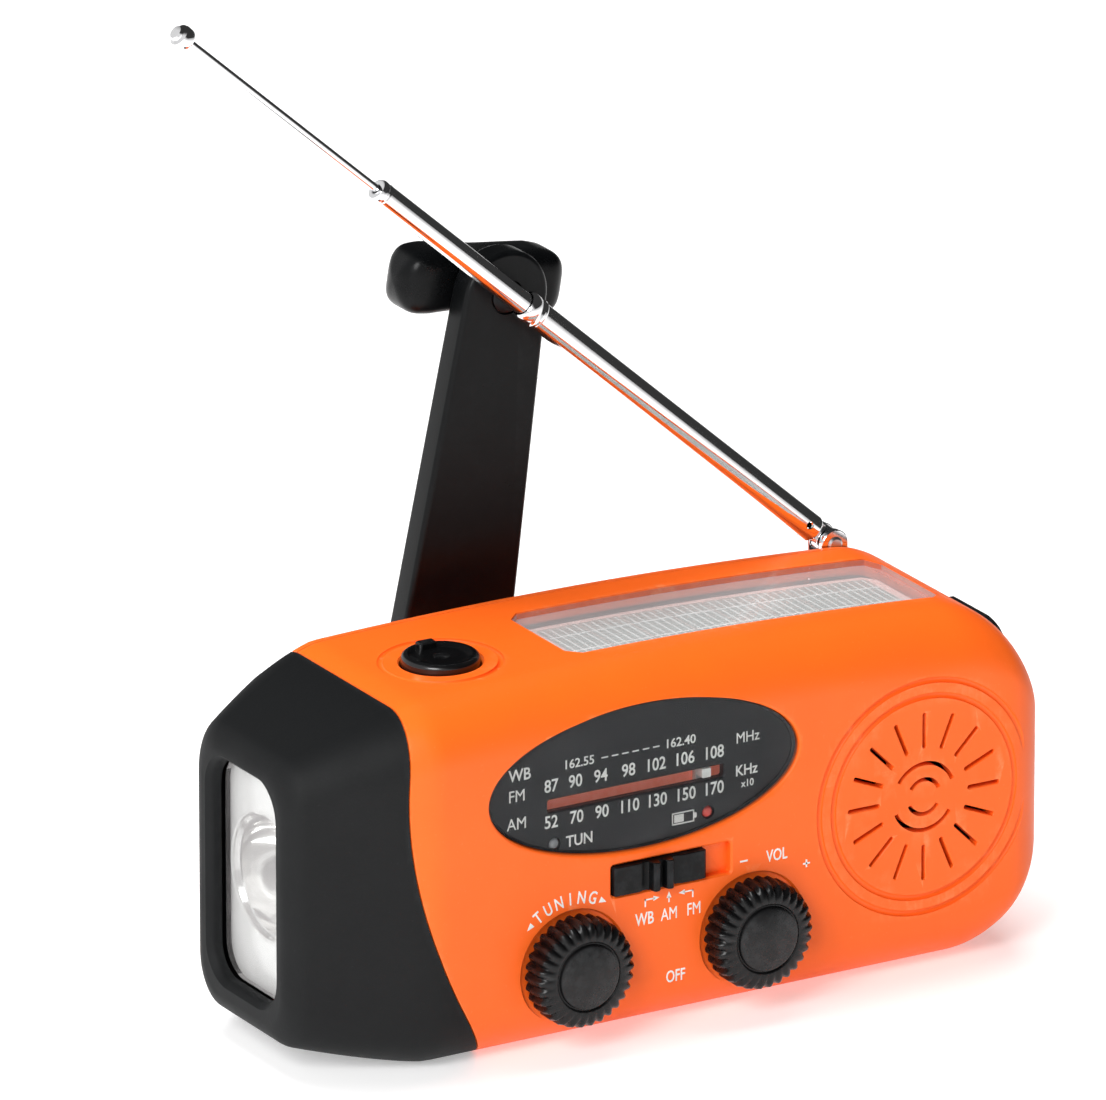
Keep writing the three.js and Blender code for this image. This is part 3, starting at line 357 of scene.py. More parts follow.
def moulded(name, base, worn, rough, grain, depth, shine=0.5, **painted_glow):
    """Moulded plastic or rubber: fine grain, uneven sheen, worn edges and a little dust."""
    base, worn, uneven = srgb(base), srgb(worn), 0.06
    # painted_glow takes emission inputs: a painted glow on a part that is no lamp.
    g = Material(name, Metallic=0, Specular_IOR_Level=shine, **painted_glow)
    patches = g.noise(0.055, 5, 0.6)
    fine = g.noise(grain, 3, 0.6)
    tone = g.blend(g.ramp(patches, 0, 0.35, 0.35, 0.7), base, darker(base, 0.82))
    scuffs = g.math("MULTIPLY", g.edges(), g.ramp(g.noise(0.5, 6, 0.7), 0.1, 0.8, 0.42, 0.62))
    tone = g.blend(scuffs, tone, worn)
    specks = g.ramp(g.noise(2.6, 2, 0.5), 0, 0.16, 0.68, 0.76)
    sheen = g.ramp(patches, rough - uneven, rough + uneven, 0.3, 0.7)
    sheen = g.math("ADD", sheen, g.ramp(fine, -0.04, 0.04))
    g.set(g.shader, Base_Color=g.blend(specks, tone, worn), Roughness=sheen)
    g.bump(fine, 0.5, depth)
    g.bump(g.noise(0.12, 3, 0.5), 0.12, 0.12)
    return g.owner


def metal(name, base, rough, grain, stretch=None, depth=0.006, dull=0.1, metallic=1):
    """Bare or plated metal: smeared tone and gloss, with fine marks along the stretch."""
    g = Material(name, Metallic=metallic)
    smear = g.noise(0.16, 5, 0.6)
    fine = g.noise(grain, 3, 0.6, stretch)
    tone = g.blend(g.ramp(smear, 0, 0.5, 0.45, 0.75), base, darker(base, 0.84))
    gloss = g.math("ADD", g.ramp(smear, rough, rough + dull, 0.4, 0.75), g.ramp(fine, -0.02, 0.03))
    g.set(g.shader, Base_Color=tone, Roughness=gloss)
    g.bump(fine, 0.35, depth)
    return g.owner


def clear(name, tint, opacity, rough):
    """A thin clear part with a glossy skin, fine scratches and a trace of haze."""
    g = Material(name, Base_Color=tint, Metallic=0, IOR=1.5, Specular_IOR_Level=0.75)
    haze = g.noise(0.12, 5, 0.6)
    scratch = g.noise(1.1, 4, 0.7, (0.1, 1, 1))
    g.set(g.shader, Roughness=g.ramp(haze, rough, rough + 0.06, 0.35, 0.75))
    g.bump(scratch, 0.08, 0.006)
    rim = g.add("LayerWeight", Blend=0.22).outputs["Fresnel"]
    share = g.math("ADD", g.ramp(rim, opacity, opacity + 0.45), g.ramp(haze, 0, 0.05, 0.5, 0.8))
    mix = g.add("MixShader", Fac=share)
    g.put(mix.inputs[1], g.add("BsdfTransparent", Color=(0.97, 0.98, 0.98, 1)).outputs["BSDF"])
    g.put(mix.inputs[2], g.shader.outputs["BSDF"])
    g.set(g.nodes["Material Output"], Surface=mix.outputs["Shader"])
    return g.owner


def solar_cell():
    """Crystalline cells: mottled grey under a glossy coat."""
    g = Material("solar_cell", Metallic=0.25, Coat_Weight=0.5, Coat_Roughness=0.08)
    grains = g.add("TexVoronoi", Vector=g.space, Scale=0.5).outputs["Distance"]
    tone = g.blend(g.ramp(g.noise(0.3, 4), 0, 1, 0.35, 0.65), srgb("A3AEA9"), srgb("B9C3BF"))
    tone = g.blend(g.ramp(grains, 0, 0.5, 0.1, 0.9), tone, srgb("8F9B97"))
    g.set(g.shader, Base_Color=tone, Roughness=g.ramp(grains, 0.25, 0.42))
    g.bump(g.noise(1.6, 3), 0.3, 0.01)
    return g.owner


ORANGE = moulded("orange_abs", "FF691C", "FF8F58", 0.44, 4.2, 0.012, 0.3)
RUBBER = moulded("black_rubber", "121314", "2C2E2F", 0.62, 3.4, 0.03, 0.2)
BLACK = moulded("black_plastic", "08090A", "26282A", 0.30, 3.8, 0.012, 0.16)
GLOSS_BLACK = moulded("gloss_black", "0A0A0B", "2A2B2C", 0.2, 3.2, 0.01, 0.6)
KNOB_BLACK = moulded("knob_plastic", "0B0B0C", "2C2D2E", 0.26, 3.2, 0.016, 0.28)
DIAL_BLACK = moulded("dial_black", "17181A", "26272A", 0.42, 5, 0.002, 0.3)
INNER_BLACK = moulded("inner_black", "0B0B0C", "1A1A1B", 0.45, 3, 0.01)
WHITE = moulded("white_print", "F1F1EE", "D8D8D4", 0.5, 5, 0.004)
# The strip glows a little: its emission is painted light that brightens it in its shaded slot.
SALMON = moulded("salmon_strip", "FF9C88", "FFB4A4", 0.5, 3, 0.004,
                 Emission_Color=srgb("E9765E"), Emission_Strength=0.3)
NYLON = moulded("nylon", "E6E2D4", "F2EFE4", 0.5, 3, 0.01)
BOARD = moulded("board_green", "1F6B3C", "3B8A57", 0.45, 3, 0.01)
PAPER = moulded("speaker_paper", "2C2927", "46423E", 0.85, 2.2, 0.04)
FERRITE = moulded("ferrite", "38383B", "55555A", 0.55, 3, 0.02)
WRAP = moulded("battery_wrap", "4F9A4A", "74B46F", 0.35, 2, 0.006)
RED_LENS = moulded("red_lens", "D2382C", "E4756B", 0.2, 3, 0.004)
GREY_LENS = moulded("grey_lens", "8F9193", "B5B7B9", 0.25, 3, 0.004)
PHOSPHOR = moulded("led_phosphor", "D9B93A", "E8D27A", 0.4, 3, 0.004)
SOLAR_SILVER = moulded("solar_silver", "F2F3F1", "FFFFFF", 0.35, 3, 0.004)
TRAY_PINK = moulded("solar_tray_pink", "F5C9C2", "FBE0DC", 0.35, 3, 0.006)
CELL = solar_cell()
CHROME = metal("chrome_plate", (0.86, 0.86, 0.87, 1), 0.05, 2.5, (0.2, 3, 3), 0.003, 0.08)
STEEL = metal("steel", (0.55, 0.56, 0.58, 1), 0.28, 3, (0.3, 2, 2), 0.01, 0.14)
COPPER = metal("copper_wire", (0.78, 0.42, 0.24, 1), 0.3, 3, (2, 0.4, 2), 0.02)
MIRROR = metal("silver_reflector", (0.88, 0.88, 0.86, 1), 0.12, 1.4, None, 0.003, 0.06, 0.35)
CUP_MIRROR = metal("silver_cup", (0.96, 0.95, 0.93, 1), 0.06, 1.4, None, 0.002, 0.05)
CLEAR = clear("clear_plastic", (0.66, 0.63, 0.63, 1), 0.03, 0.02)
DIAL_CLEAR = clear("dial_clear", (0.12, 0.12, 0.13, 1), 0.03, 0.04)
LED_CLEAR = clear("led_plastic", (0.75, 0.76, 0.70, 1), 0.25, 0.04)
# The slot that each material fills, unless a piece names another.
SLOTS = {
    "orange_shell": [ORANGE], "black_rubber": [RUBBER], "dial_black": [DIAL_BLACK], "chrome_plate": [CHROME],
    "black_plastic": [BLACK, GLOSS_BLACK, KNOB_BLACK, INNER_BLACK], "white_plastic": [WHITE, GREY_LENS],
    "salmon_strip": [SALMON], "red_lens": [RED_LENS], "clear_plastic": [CLEAR, DIAL_CLEAR, LED_CLEAR],
    "steel": [STEEL, SOLAR_SILVER], "silver_reflector": [MIRROR, PHOSPHOR], "solar_cell": [CELL, TRAY_PINK],
}
SLOT_OF = {material.name: slot for slot, materials in SLOTS.items() for material in materials}


# ---------- Body form ----------
# How much of each end is rounded or tapered, and by how much.
END_LENGTH, END_DROP = 16, 20
END_DEPTH_LENGTH, END_DEPTH_DROP = 8, 9
TAPER_LENGTH, TAPER_POWER = 21, 1.25
TAPER_DEPTH, TAPER_TOP, TAPER_BOTTOM = 8.6, 7.4, 4.8
NOSE_RADIUS = 2.6


def quarter_round(t):
    """A quarter circle's drop, from 0 at t = 0 to 1 at t = 1."""
    t = min(1, max(0, t))
    return 1 - sqrt(max(0, 1 - t * t))


def end_round(x, length):
    return quarter_round((x - (SPEAKER_END - length)) / length)


def taper(x):
    """The torch head's narrowing: 0 behind it, 1 at its end."""
    return max(0, (TAPER_LENGTH + TORCH_END - x) / TAPER_LENGTH) ** TAPER_POWER


def nose(x):
    return NOSE_RADIUS * quarter_round((NOSE_RADIUS + TORCH_END - x) / NOSE_RADIUS)


def half_depth_at(x):
    return HALF_DEPTH - END_DEPTH_DROP * end_round(x, END_DEPTH_LENGTH) - TAPER_DEPTH * taper(x) - nose(x)


def top_at(x):
    arch = TOP_ARCH * ((x - CROWN_X) / ARCH_SPAN) ** 2
    return HEIGHT - arch - END_DROP * end_round(x, END_LENGTH) - TAPER_TOP * taper(x) - nose(x)


def bottom_at(x):
    return END_DROP * end_round(x, END_LENGTH) + TAPER_BOTTOM * taper(x) + nose(x)


def body_form(inset, stations=110, corner=14):
    """The outer form moved in by an inset: a rounded rectangle swept along X."""
    wide, tall = HALF_DEPTH - inset, HEIGHT / 2 - inset
    outline = np.array(rectangle(-wide, wide, -tall, tall, EDGE_RADIUS - inset, corner))
    section = []
    for p, q in zip(outline, np.roll(outline, -1, 0)):
        parts = 8 if np.linalg.norm(q - p) > 5 else 1
        section += [p + (q - p) * k / parts for k in range(parts)]
    rings = []
    length = SPEAKER_END - TORCH_END
    for i in range(stations + 1):
        share = (1 - cos(pi * i / stations)) / 2
        x = TORCH_END + length * share
        inset_x = TORCH_END + inset + (length - 2 * inset) * share
        middle = (top_at(x) + bottom_at(x)) / 2
        high = (top_at(x) - bottom_at(x)) / 2 - inset
        deep = half_depth_at(x) - inset
        rings.append([(inset_x, p[0] / wide * deep, middle + p[1] / tall * high) for p in section])
    return loft(rings)


def torch_side(shift):
    """Everything on the torch side of the curved joint between the head and the shells."""
    curve = bezier([(-46, HEIGHT), (-51, 38), (-45, 16), (-34, 0)], 40)
    line = [(-46, HEIGHT + 6)] + curve + [(-32, -6)]
    outline = [(x + shift, z) for x, z in line] + [(TORCH_END - 12, -6), (TORCH_END - 12, HEIGHT + 6)]
    return prism(outline, "y", [(-30, 0), (30, 0)])


def solar_outline(margin, radius=2):
    return rectangle(SOLAR_X0 + margin, SOLAR_X1 - margin, SOLAR_Y0 + margin, SOLAR_Y1 - margin, radius, 6)


def under_top(outline, depth, bottom=None):
    """A solid over a convex outline in XY. It lies between two depths below the arched top, or, without
    a bottom, reaches from the depth up past the top."""
    points = np.array(outline)
    rings = []
    for x in np.linspace(points[:, 0].min(), points[:, 0].max(), 34):
        y0, y1 = crossing(points, x)
        surface = top_at(x) - depth
        low, high = (surface, HEIGHT + 8) if bottom is None else (top_at(x) - bottom, surface)
        rings.append([(x, y0, low), (x, y1, low), (x, y1, high), (x, y0, high)])
    return loft(rings)


def crossing(points, x):
    """The lowest and highest y of a convex outline at x."""
    ys, near = [], 1e-9
    for (x0, y0), (x1, y1) in zip(np.roll(points, 1, 0), points):
        if abs(x1 - x0) > near and min(x0, x1) - near <= x <= max(x0, x1) + near:
            ys.append(y0 + (y1 - y0) * (x - x0) / (x1 - x0))
    return min(ys), max(ys)


# ---------- Shells and torch head ----------
def dial_outline(margin):
    return oval(DIAL_X, DIAL_Z, DIAL_A - margin, DIAL_B - margin, 128)


def pocket_outline(out, radius):
    return rectangle(POCKET_X0 - out, POCKET_X1 + out, POCKET_Z0 - out, POCKET_Z1 + out, radius, 6)


def torch_outline(margin):
    wide, tall = TORCH_WIDE / 2 + margin, TORCH_TALL / 2 + margin
    return rectangle(-wide, wide, TORCH_Z - tall, TORCH_Z + tall, TORCH_CORNER, 10)


def grille_cutters(out, face, through):
    """Two ring grooves, sixteen spokes and two pairs of arcs in the speaker grille."""
    cuts = []
    for radius in (18.1, 15.7):
        cuts.append(ring_solid(oval(radius, face + 0.08, 0.5, 0.4, 14), "y", SPEAKER_X, SPEAKER_Z, 144))
    spokes, spoke = 16, rectangle(7.6, 13.1, -0.31, 0.31, 0.25, 3)
    for i in range(spokes):
        c, s = cos(2 * pi * i / spokes), sin(2 * pi * i / spokes)
        outline = [(SPEAKER_X + c * p - s * q, SPEAKER_Z + s * p + c * q) for p, q in spoke]
        cuts.append(prism(outline, "y", [(out, 0.1), (face, 0.1), (face + 0.12, 0), (through, 0)]))
    half_slit, start, sweep = 0.33, 22, 125
    for radius in (5.2, 2.7):
        for turn in (start, start + 180):
            outside = arc(SPEAKER_X, SPEAKER_Z, radius + half_slit, turn, sweep, 24)
            inside = arc(SPEAKER_X, SPEAKER_Z, radius - half_slit, turn, sweep, 24)
            cuts.append(prism(outside + inside[::-1], "y", [(out, 0), (through, 0)]))
    return cuts


def front_cutters():
    """Every opening in the front face, with a small chamfer where it meets the face."""
    out, face, through = FRONT_Y - 3, FRONT_Y, FRONT_Y + WALL + 2
    band = rectangle(BAND_X0, BAND_X1, BAND_Z - BAND_TALL / 2, BAND_Z + BAND_TALL / 2, 0.5, 5)
    cuts = [prism(dial_outline(0), "y",
                  [(out, 0.45), (face, 0.45), (face + 0.2, 0.14), (face + 0.45, 0), (through, 0)]),
            prism(band, "y", [(out, 0.3), (face, 0.3), (face + 0.3, 0), (BAND_FLOOR, 0)])]
    cuts += grille_cutters(out, face, through)
    dish = [(0, out), (9.1, out), (9.1, face), (8.9, face + 0.2), (8.8, face + 0.7), (0, face + 0.7)]
    for x in (TUNING_X, VOLUME_X):
        cuts.append(lathe(dish, "y", x, KNOB_Z, 112))
        cuts.append(cylinder("y", 3.2, face + 0.5, through, x, KNOB_Z, 48))
    return cuts


def top_cutters():
    """The solar cover's recess, the ring groove round the torch button and the button's hole."""
    crown = top_at(BUTTON_X)
    groove = oval(BUTTON_RING, crown + 0.02, 0.5, 0.48, 14)
    hole_radius = BUTTON_RADIUS + 0.25
    hole = oval(BUTTON_X, BUTTON_Y, hole_radius, hole_radius, 96)
    return [under_top(solar_outline(0), 3.4),
            ring_solid(groove, "z", BUTTON_X, BUTTON_Y, 128),
            prism(hole, "z", [(crown - 8, 0), (crown - 0.45, 0), (crown + 0.02, 0.35), (crown + 4, 0.35)])]


def side_cutters():
    cuts, gap = [], 0.3
    for z0, z1, wide in (USB_PORT, CHARGE_PORT):
        hole = rectangle(PORT_Y - wide / 2 - gap, PORT_Y + wide / 2 + gap, z0 - gap, z1 + gap, 0.4, 3)
        cuts.append(prism(hole, "x", [(52, 0), (80, 0)]))
    return cuts


def back_bore(radius, floor, x, z, steps):
    """A round recess in the back, with a chamfer where it meets the face."""
    levels = [(floor, 0), (BACK_Y - CHAMFER, 0), (BACK_Y, CHAMFER), (30, CHAMFER)]
    return prism(oval(x, z, radius, radius, steps), "y", levels)


def hollow():
    """The space inside, less what is kept round the antenna's ledge, the crank and the grip's pocket."""
    around = 1.8
    return cut(body_form(WALL, 70, 8),
               box(-70, 55.5, LEDGE_Y - around, 30, LEDGE_Z - 4.6, 70),
               cylinder("y", HUB_BORE + around, 15.1, 30, HUB_X, HUB_Z, 96),
               box(POCKET_X0 - around, POCKET_X1 + around, 11, 30, POCKET_Z0 - around, POCKET_Z1 + around))


def antenna_ledge():
    """The step along the top rear edge that the antenna folds into."""
    radius, far_y, far_z = 1.2, 40, 75
    corner = arc(LEDGE_Y + radius, LEDGE_Z + radius, radius, 180, 90, 6)
    outline = corner + [(far_y, LEDGE_Z), (far_y, far_z), (LEDGE_Y, far_z)]
    return prism(outline, "x", [(-80, 0), (LEDGE_END - 1.2, 0), (LEDGE_END, -0.4)])


def build_shells():
    """The hollow body, parted into the torch head, the front case and the rear case."""
    skin = body_form(0)
    front = cut(body_form(0), hollow())
    head = linked(front.data.copy())
    cut(front, torch_side(HEAD_GAP))
    rear = linked(front.data.copy())

    cut(front, box(-FAR, FAR, PARTING_Y - SHELL_GAP, 60, -20, FAR),
        box(POCKET_X0 - 3.7, POCKET_X1 + 3.7, 10.9, 30, POCKET_Z0 - 1.9, POCKET_Z1 + 1.9),
        *front_cutters(), *top_cutters(), *side_cutters())
    piece("front_case", front, ORANGE, "front_shell", angle=35)

    cut(rear, box(-FAR, FAR, -60, PARTING_Y + SHELL_GAP, -20, FAR))
    add(rear, prism(pocket_outline(1.5, 3), "y", [(11.3, 0), (PARTING_Y + 0.3, 0)]))
    for x, z in SCREWS:
        seat = cylinder("y", 4.2, PARTING_Y + 1, 22.4, x, z, 48)
        add(rear, boolean(seat, skin, "INTERSECT", keep=True))
        cut(rear, back_bore(3, 17, x, z, 64), cylinder("y", 1.6, 10, 18, x, z, 32))
    cut(rear, antenna_ledge(),
        box(42.8, LEDGE_END, LEDGE_Y, 30, 48.5, 70),
        back_bore(HUB_BORE, 16.9, HUB_X, HUB_Z, 128),
        cylinder("y", 3.15, 10, 18, HUB_X, HUB_Z, 48),
        prism(pocket_outline(0, 2.2), "y",
              [(12.8, -0.5), (13.3, 0), (BACK_Y - 0.8, 0), (BACK_Y, 0.8), (30, 0.8)]))
    piece("rear_case", rear, ORANGE, "rear_shell", angle=35)

    boolean(head, torch_side(-HEAD_GAP), "INTERSECT")
    mouth = [(-70, 1), (TORCH_END - 0.05, 1), (-63.4, 0.3), (-62.8, 0), (-54, 0)]
    cut(head, prism(torch_outline(0), "x", mouth), antenna_ledge())
    piece("torch_housing", head, RUBBER, "torch_head", angle=40)
    drop(skin)


def build_screws():
    """Four round-headed screws with crossed slots."""
    profile = [(0, -3), (1.2, -3), (1.2, 17.3), (2.55, 17.3), (2.6, 17.5), (2.55, 18.6), (2.1, 19.05),
               (0, 19.2)]
    for i, (x, z) in enumerate(SCREWS):
        screw = lathe(profile, "y", x, z, 48)
        for a, b in ((0.32, 1.5), (1.5, 0.32)):
            cut(screw, box(x - a, x + a, 18.3, 20, z - b, z + b))
        piece("case_bolt_%d" % (i + 1), screw, STEEL, "case_screw_%d" % (i + 1))


# ---------- Knobs, band switch and torch button ----------
def knob(name, x, body, node):
    """A knob with bevelled flutes round a flat centre disc."""
    flutes, bore = 30, 3.35
    # Radius, position and depth of the flutes, from the floor of the bore to the middle of the face.
    rows = ((bore, -25.05, 0), (bore, -22.1, 0), (8.05, -22.1, 0.5), (8.35, -22.5, 0.62), (8.4, -25.1, 0.62),
            (8.05, -26.15, 0.62), (7.3, -26.75, 0.55), (6.3, -27, 0.36), (5.55, -27.05, 0.08),
            (5.35, -26.98, 0), (5.2, -26.8, 0), (5.05, -26.82, 0), (4.9, -27.2, 0), (4.6, -27.36, 0),
            (SPECK, -27.4, 0))
    steps = 8 * flutes
    rings = []
    for radius, level, depth in rows:
        ring = []
        for i in range(steps):
            t = 2 * pi * i / steps
            r = radius - depth * (0.5 - 0.5 * cos(flutes * t)) ** 1.6
            ring.append((x + r * cos(t), level, KNOB_Z + r * sin(t)))
        rings.append(ring)
    piece(name, loft(rings), KNOB_BLACK, node, body=body)


def build_band_switch():
    """A slider with two pads, two ridges and a stem down to the switch."""
    middle, half_tall = BAND_X0 + 8, BAND_TALL / 2 - 0.2
    # Distance from the middle and position, from the outer end to the valley between the ridges.
    half = [(7.8, -21.25), (7.8, -22.9), (7.45, -23.15), (3.6, -23.15), (2.9, -22.85), (2.2, -22.85),
            (1.93, -23), (1.75, -24), (1.45, -24.3), (0.85, -24.3), (0.55, -24), (0.37, -23)]
    profile = [(middle - x, y) for x, y in half] + [(middle + x, y) for x, y in reversed(half)]
    slider = prism(profile, "z", soft_ends(BAND_Z - half_tall, BAND_Z + half_tall, 0.12))
    add(slider, box(middle - 2.4, middle + 2.4, -21.5, -17.2, BAND_Z - 0.8, BAND_Z + 0.8))
    piece("band_knob", slider, BLACK, "band_slider", body="band")


def build_torch_button():
    """A dished cap with a flange and a small rear tab."""
    top = top_at(BUTTON_X) + 1.3
    profile = [(0, -5.1), (6.7, -5.1), (6.7, -4.1), (BUTTON_RADIUS, -4.1), (BUTTON_RADIUS, -0.75),
               (5.7, -0.35), (5.35, -0.08), (4.9, 0), (4.6, -0.1), (4.1, -0.34), (3.4, -0.46), (1.5, -0.5),
               (1.15, -0.56), (0.8, -0.85), (0, -0.95)]
    cap = lathe([(r, top + z) for r, z in profile], "z", BUTTON_X, BUTTON_Y, 96)
    tab = rectangle(BUTTON_X - 1.5, BUTTON_X + 1.5, BUTTON_Y + 3.3, BUTTON_Y + 5.1, 0.5, 5)
    add(cap, prism(tab, "z", [(top - 1.2, 0), (top + 0.3, 0), (top + 0.5, -0.25)]))
    piece("torch_push", cap, GLOSS_BLACK, "torch_button", body="torch_button")


# ---------- Dial ----------
def build_dial():
    """Behind the clear oval: a black plate with a slot and two lights, the strip and the pointer."""
    face, back, gap = FRONT_Y, FRONT_Y + 3.2, 0.2
    plate = prism(dial_outline(gap), "y", [(face + 1.3, -0.15), (face + 1.45, 0), (face + 2.6, 0)])
    slot = rectangle(SLOT_X0, SLOT_X1, SLOT_Z - 0.95, SLOT_Z + 0.95, 0.4, 5)
    cut(plate, prism(slot, "y", [(face, 0.25), (face + 1.3, 0.25), (face + 1.6, 0), (back + 1, 0)]))
    for x in (TUNE_LIGHT_X, CHARGE_LIGHT_X):
        cut(plate, cylinder("y", 1.05, face, back + 1, x, LIGHT_Z, 40))
    rim_section = [(DIAL_A - 0.25, face + 0.95), (DIAL_A - 0.25, face + 1.5), (DIAL_A - 0.9, face + 1.5),
                   (DIAL_A - 0.75, face + 1.1)]
    rim = ring_solid(rim_section, "y", DIAL_X, DIAL_Z, 128, DIAL_B / DIAL_A * 1.004)
    piece("dial_face", plate, DIAL_BLACK, "dial_plate")
    piece("dial_rim", rim, INNER_BLACK)

    strip = box(SLOT_X0 - 4, SLOT_X1 + 4, back + 1.45, back + 2.25, SLOT_Z - 3.5, SLOT_Z + 3.5)
    # The strip's material carries a painted glow that stands in for light in the shaded slot.
    piece("salmon_backing", strip, SALMON, "scale_strip")
    half = 0.75
    flag = rectangle(POINTER_X - half, POINTER_X + half, SLOT_Z - half, SLOT_Z + half, 0.15, 3)
    finger = prism(flag, "y", [(face + 1.7, -0.1), (face + 1.8, 0), (back + 1.1, 0)])
    add(finger, box(POINTER_X - 0.9, POINTER_X + 0.9, back + 0.25, back + 1.15, SLOT_Z - 2.6, SLOT_Z + 2.6))
    piece("pointer_flag", finger, WHITE, "dial_pointer", body="pointer")

    lens_profile = [(0, face + 1.2), (0.45, face + 1.26), (0.75, face + 1.5), (0.9, face + 1.9),
                    (0.9, back + 1.4), (0, back + 1.4)]
    for name, x, material, node in (("tune_lens", TUNE_LIGHT_X, GREY_LENS, "tune_light"),
                                    ("charge_lens", CHARGE_LIGHT_X, RED_LENS, "charge_light")):
        piece(name, lathe(lens_profile, "y", x, LIGHT_Z, 32), material, node)
    window = prism(dial_outline(gap), "y",
                   [(face + 0.3, -0.3), (face + 0.42, -0.05), (face + 0.55, 0), (face + 0.95, 0)])
    piece("dial_lens", window, DIAL_CLEAR, "dial_window")


# ---------- Printing ----------
# How much the strokes are widened. A text with an M stays as it is, because the M's strokes would cross.
PRINT_WEIGHT = 0.012
PRINT_HALF = 0.02


def printed(text, x, z, size, y, turn=0, wide=1):
    """Thin raised letters on a plane that faces the front, centred on x and z."""
    curve = bpy.data.curves.new("print", "FONT")
    curve.body = text
    curve.size = size * MM
    curve.align_x = "CENTER"
    curve.align_y = "CENTER"
    curve.extrude = PRINT_HALF * MM
    curve.offset = (0 if "M" in text else PRINT_WEIGHT) * size * MM
    curve.resolution_u = 3
    holder = linked(curve)
    obj = linked(evaluated_mesh(holder))
    bpy.data.objects.remove(holder)
    stand = Matrix.Rotation(pi / 2, 4, "X")
    place = Matrix.Translation(Vector((x, y, z)) * MM)
    return moved(obj, place @ Matrix.Rotation(turn, 4, "Y") @ stand @ Matrix.Diagonal((wide, 1, 1, 1)))


def printed_all(marks, y, wide):
    return [printed(text, x, z, size, y, wide=wide) for text, x, z, size in marks]


def dash(x0, x1, z0, z1, y):
    return box(x0, x1, y - PRINT_HALF, y + PRINT_HALF, z0, z1)


def arrow_head(x, z, size, angle, y):
    c, s = cos(angle), sin(angle)
    corners = ((size, 0), (-size, size * 0.8), (-size, -size * 0.8))
    outline = [(x + c * a - s * b, z + s * a + c * b) for a, b in corners]
    return prism(outline, "y", [(y - PRINT_HALF, 0), (y + PRINT_HALF, 0)])


def build_dial_print():
    """The two scales, the weather line, names, units and a battery sign."""
    y = FRONT_Y + 1.28
    marks = []
    rows = (("87 90 94 98 102 106 108", 41.2, (-24, -19.9, -15.6, -10.9, -6.3, -1.4, 3.6)),
            ("52 70 90 110 130 150 170", 35.6, (-24, -19.7, -15.4, -10.8, -6.1, -1.2, 3.6)))
    for text, z, spots in rows:
        marks += printed_all([(word, x, z, 2.75) for word, x in zip(text.split(), spots)], y, 0.86)
    marks += printed_all((("162.55", -19.3, 44, 1.95), ("162.40", -2.1, 44, 1.95)), y, 1)
    for i in range(6):
        marks.append(dash(-15.5 + i * 1.75, -14.4 + i * 1.75, 43.92, 44.12, y))
    names = (("WB", -29.3, 43.9, 2.6), ("FM", -29.8, 40.7, 2.6), ("AM", -29.8, 36.4, 2.6),
             ("MHz", 9.4, 42.6, 2.35), ("KHz", 9.2, 37.5, 2.35), ("x10", 9.4, 35.4, 1.6),
             ("TUN", -19.2, 32, 2.45))
    marks += printed_all(names, y, 0.9)
    battery_x, wide, tall, line = -1.6, 1.9, 0.95, 0.2
    for x0, x1, z0, z1 in ((-wide, wide, tall - line, tall), (-wide, wide, -tall, line - tall),
                           (-wide, line - wide, -tall, tall), (wide - line, wide, -tall, tall),
                           (wide, 2.3, -0.4, 0.4), (-1.5, 0.1, -0.6, 0.6)):
        marks.append(dash(battery_x + x0, battery_x + x1, LIGHT_Z + z0, LIGHT_Z + z1, y))
    piece("dial_print", joined(marks), WHITE, angle=35, weighted=False)


def tuning_print(y):
    """TUNING round the top of its knob, with an arrow head at each end of the arc."""
    radius, middle, step, ends = 10.7, 98.5, 10.3, 36
    text, marks = "TUNING", []
    for i, letter in enumerate(text):
        angle = radians(middle - (i - (len(text) - 1) / 2) * step)
        x, z = TUNING_X + radius * cos(angle), KNOB_Z + radius * sin(angle)
        marks.append(printed(letter, x, z, 2.75, y, turn=pi / 2 - angle, wide=0.72))
    for side in (1, -1):
        angle = radians(middle + side * ends)
        x, z = TUNING_X + radius * cos(angle), KNOB_Z + radius * sin(angle)
        marks.append(arrow_head(x, z, 0.6, angle + side * pi / 2, y))
    return marks


def build_case_print():
    """Names of the knobs and bands, a minus, a plus, and three arrows."""
    y = FRONT_Y - 0.01
    marks = tuning_print(y)
    marks += printed_all((("WB", -8.9, 18, 2.75), ("AM", -4.7, 18, 2.75), ("FM", -0.5, 18, 2.75),
                          ("OFF", -3.6, 8.1, 2.6), ("VOL", 13.7, 23.7, 2.6)), y, 0.72)
    z, head = 20.6, 0.5
    for bar in ((7.4, 8.7, 23.7, 23.98), (18.2, 19.4, 21.3, 21.56), (18.67, 18.93, 20.83, 22.03),
                (-8.9, -8.68, z - 0.7, z + 0.5), (-8.9, -7.2, z + 0.28, z + 0.5),
                (-0.8, -0.58, z - 0.7, z + 0.5), (-2.3, -0.58, z + 0.28, z + 0.5),
                (-4.86, -4.64, z - 0.7, z + 0.2)):
        marks.append(dash(*bar, y))
    marks += [arrow_head(-6.9, z + 0.39, head, 0, y), arrow_head(-2.6, z + 0.39, head, pi, y),
              arrow_head(-4.75, z + 0.5, head, pi / 2, y)]
    piece("case_print", joined(marks), WHITE, angle=35, weighted=False)


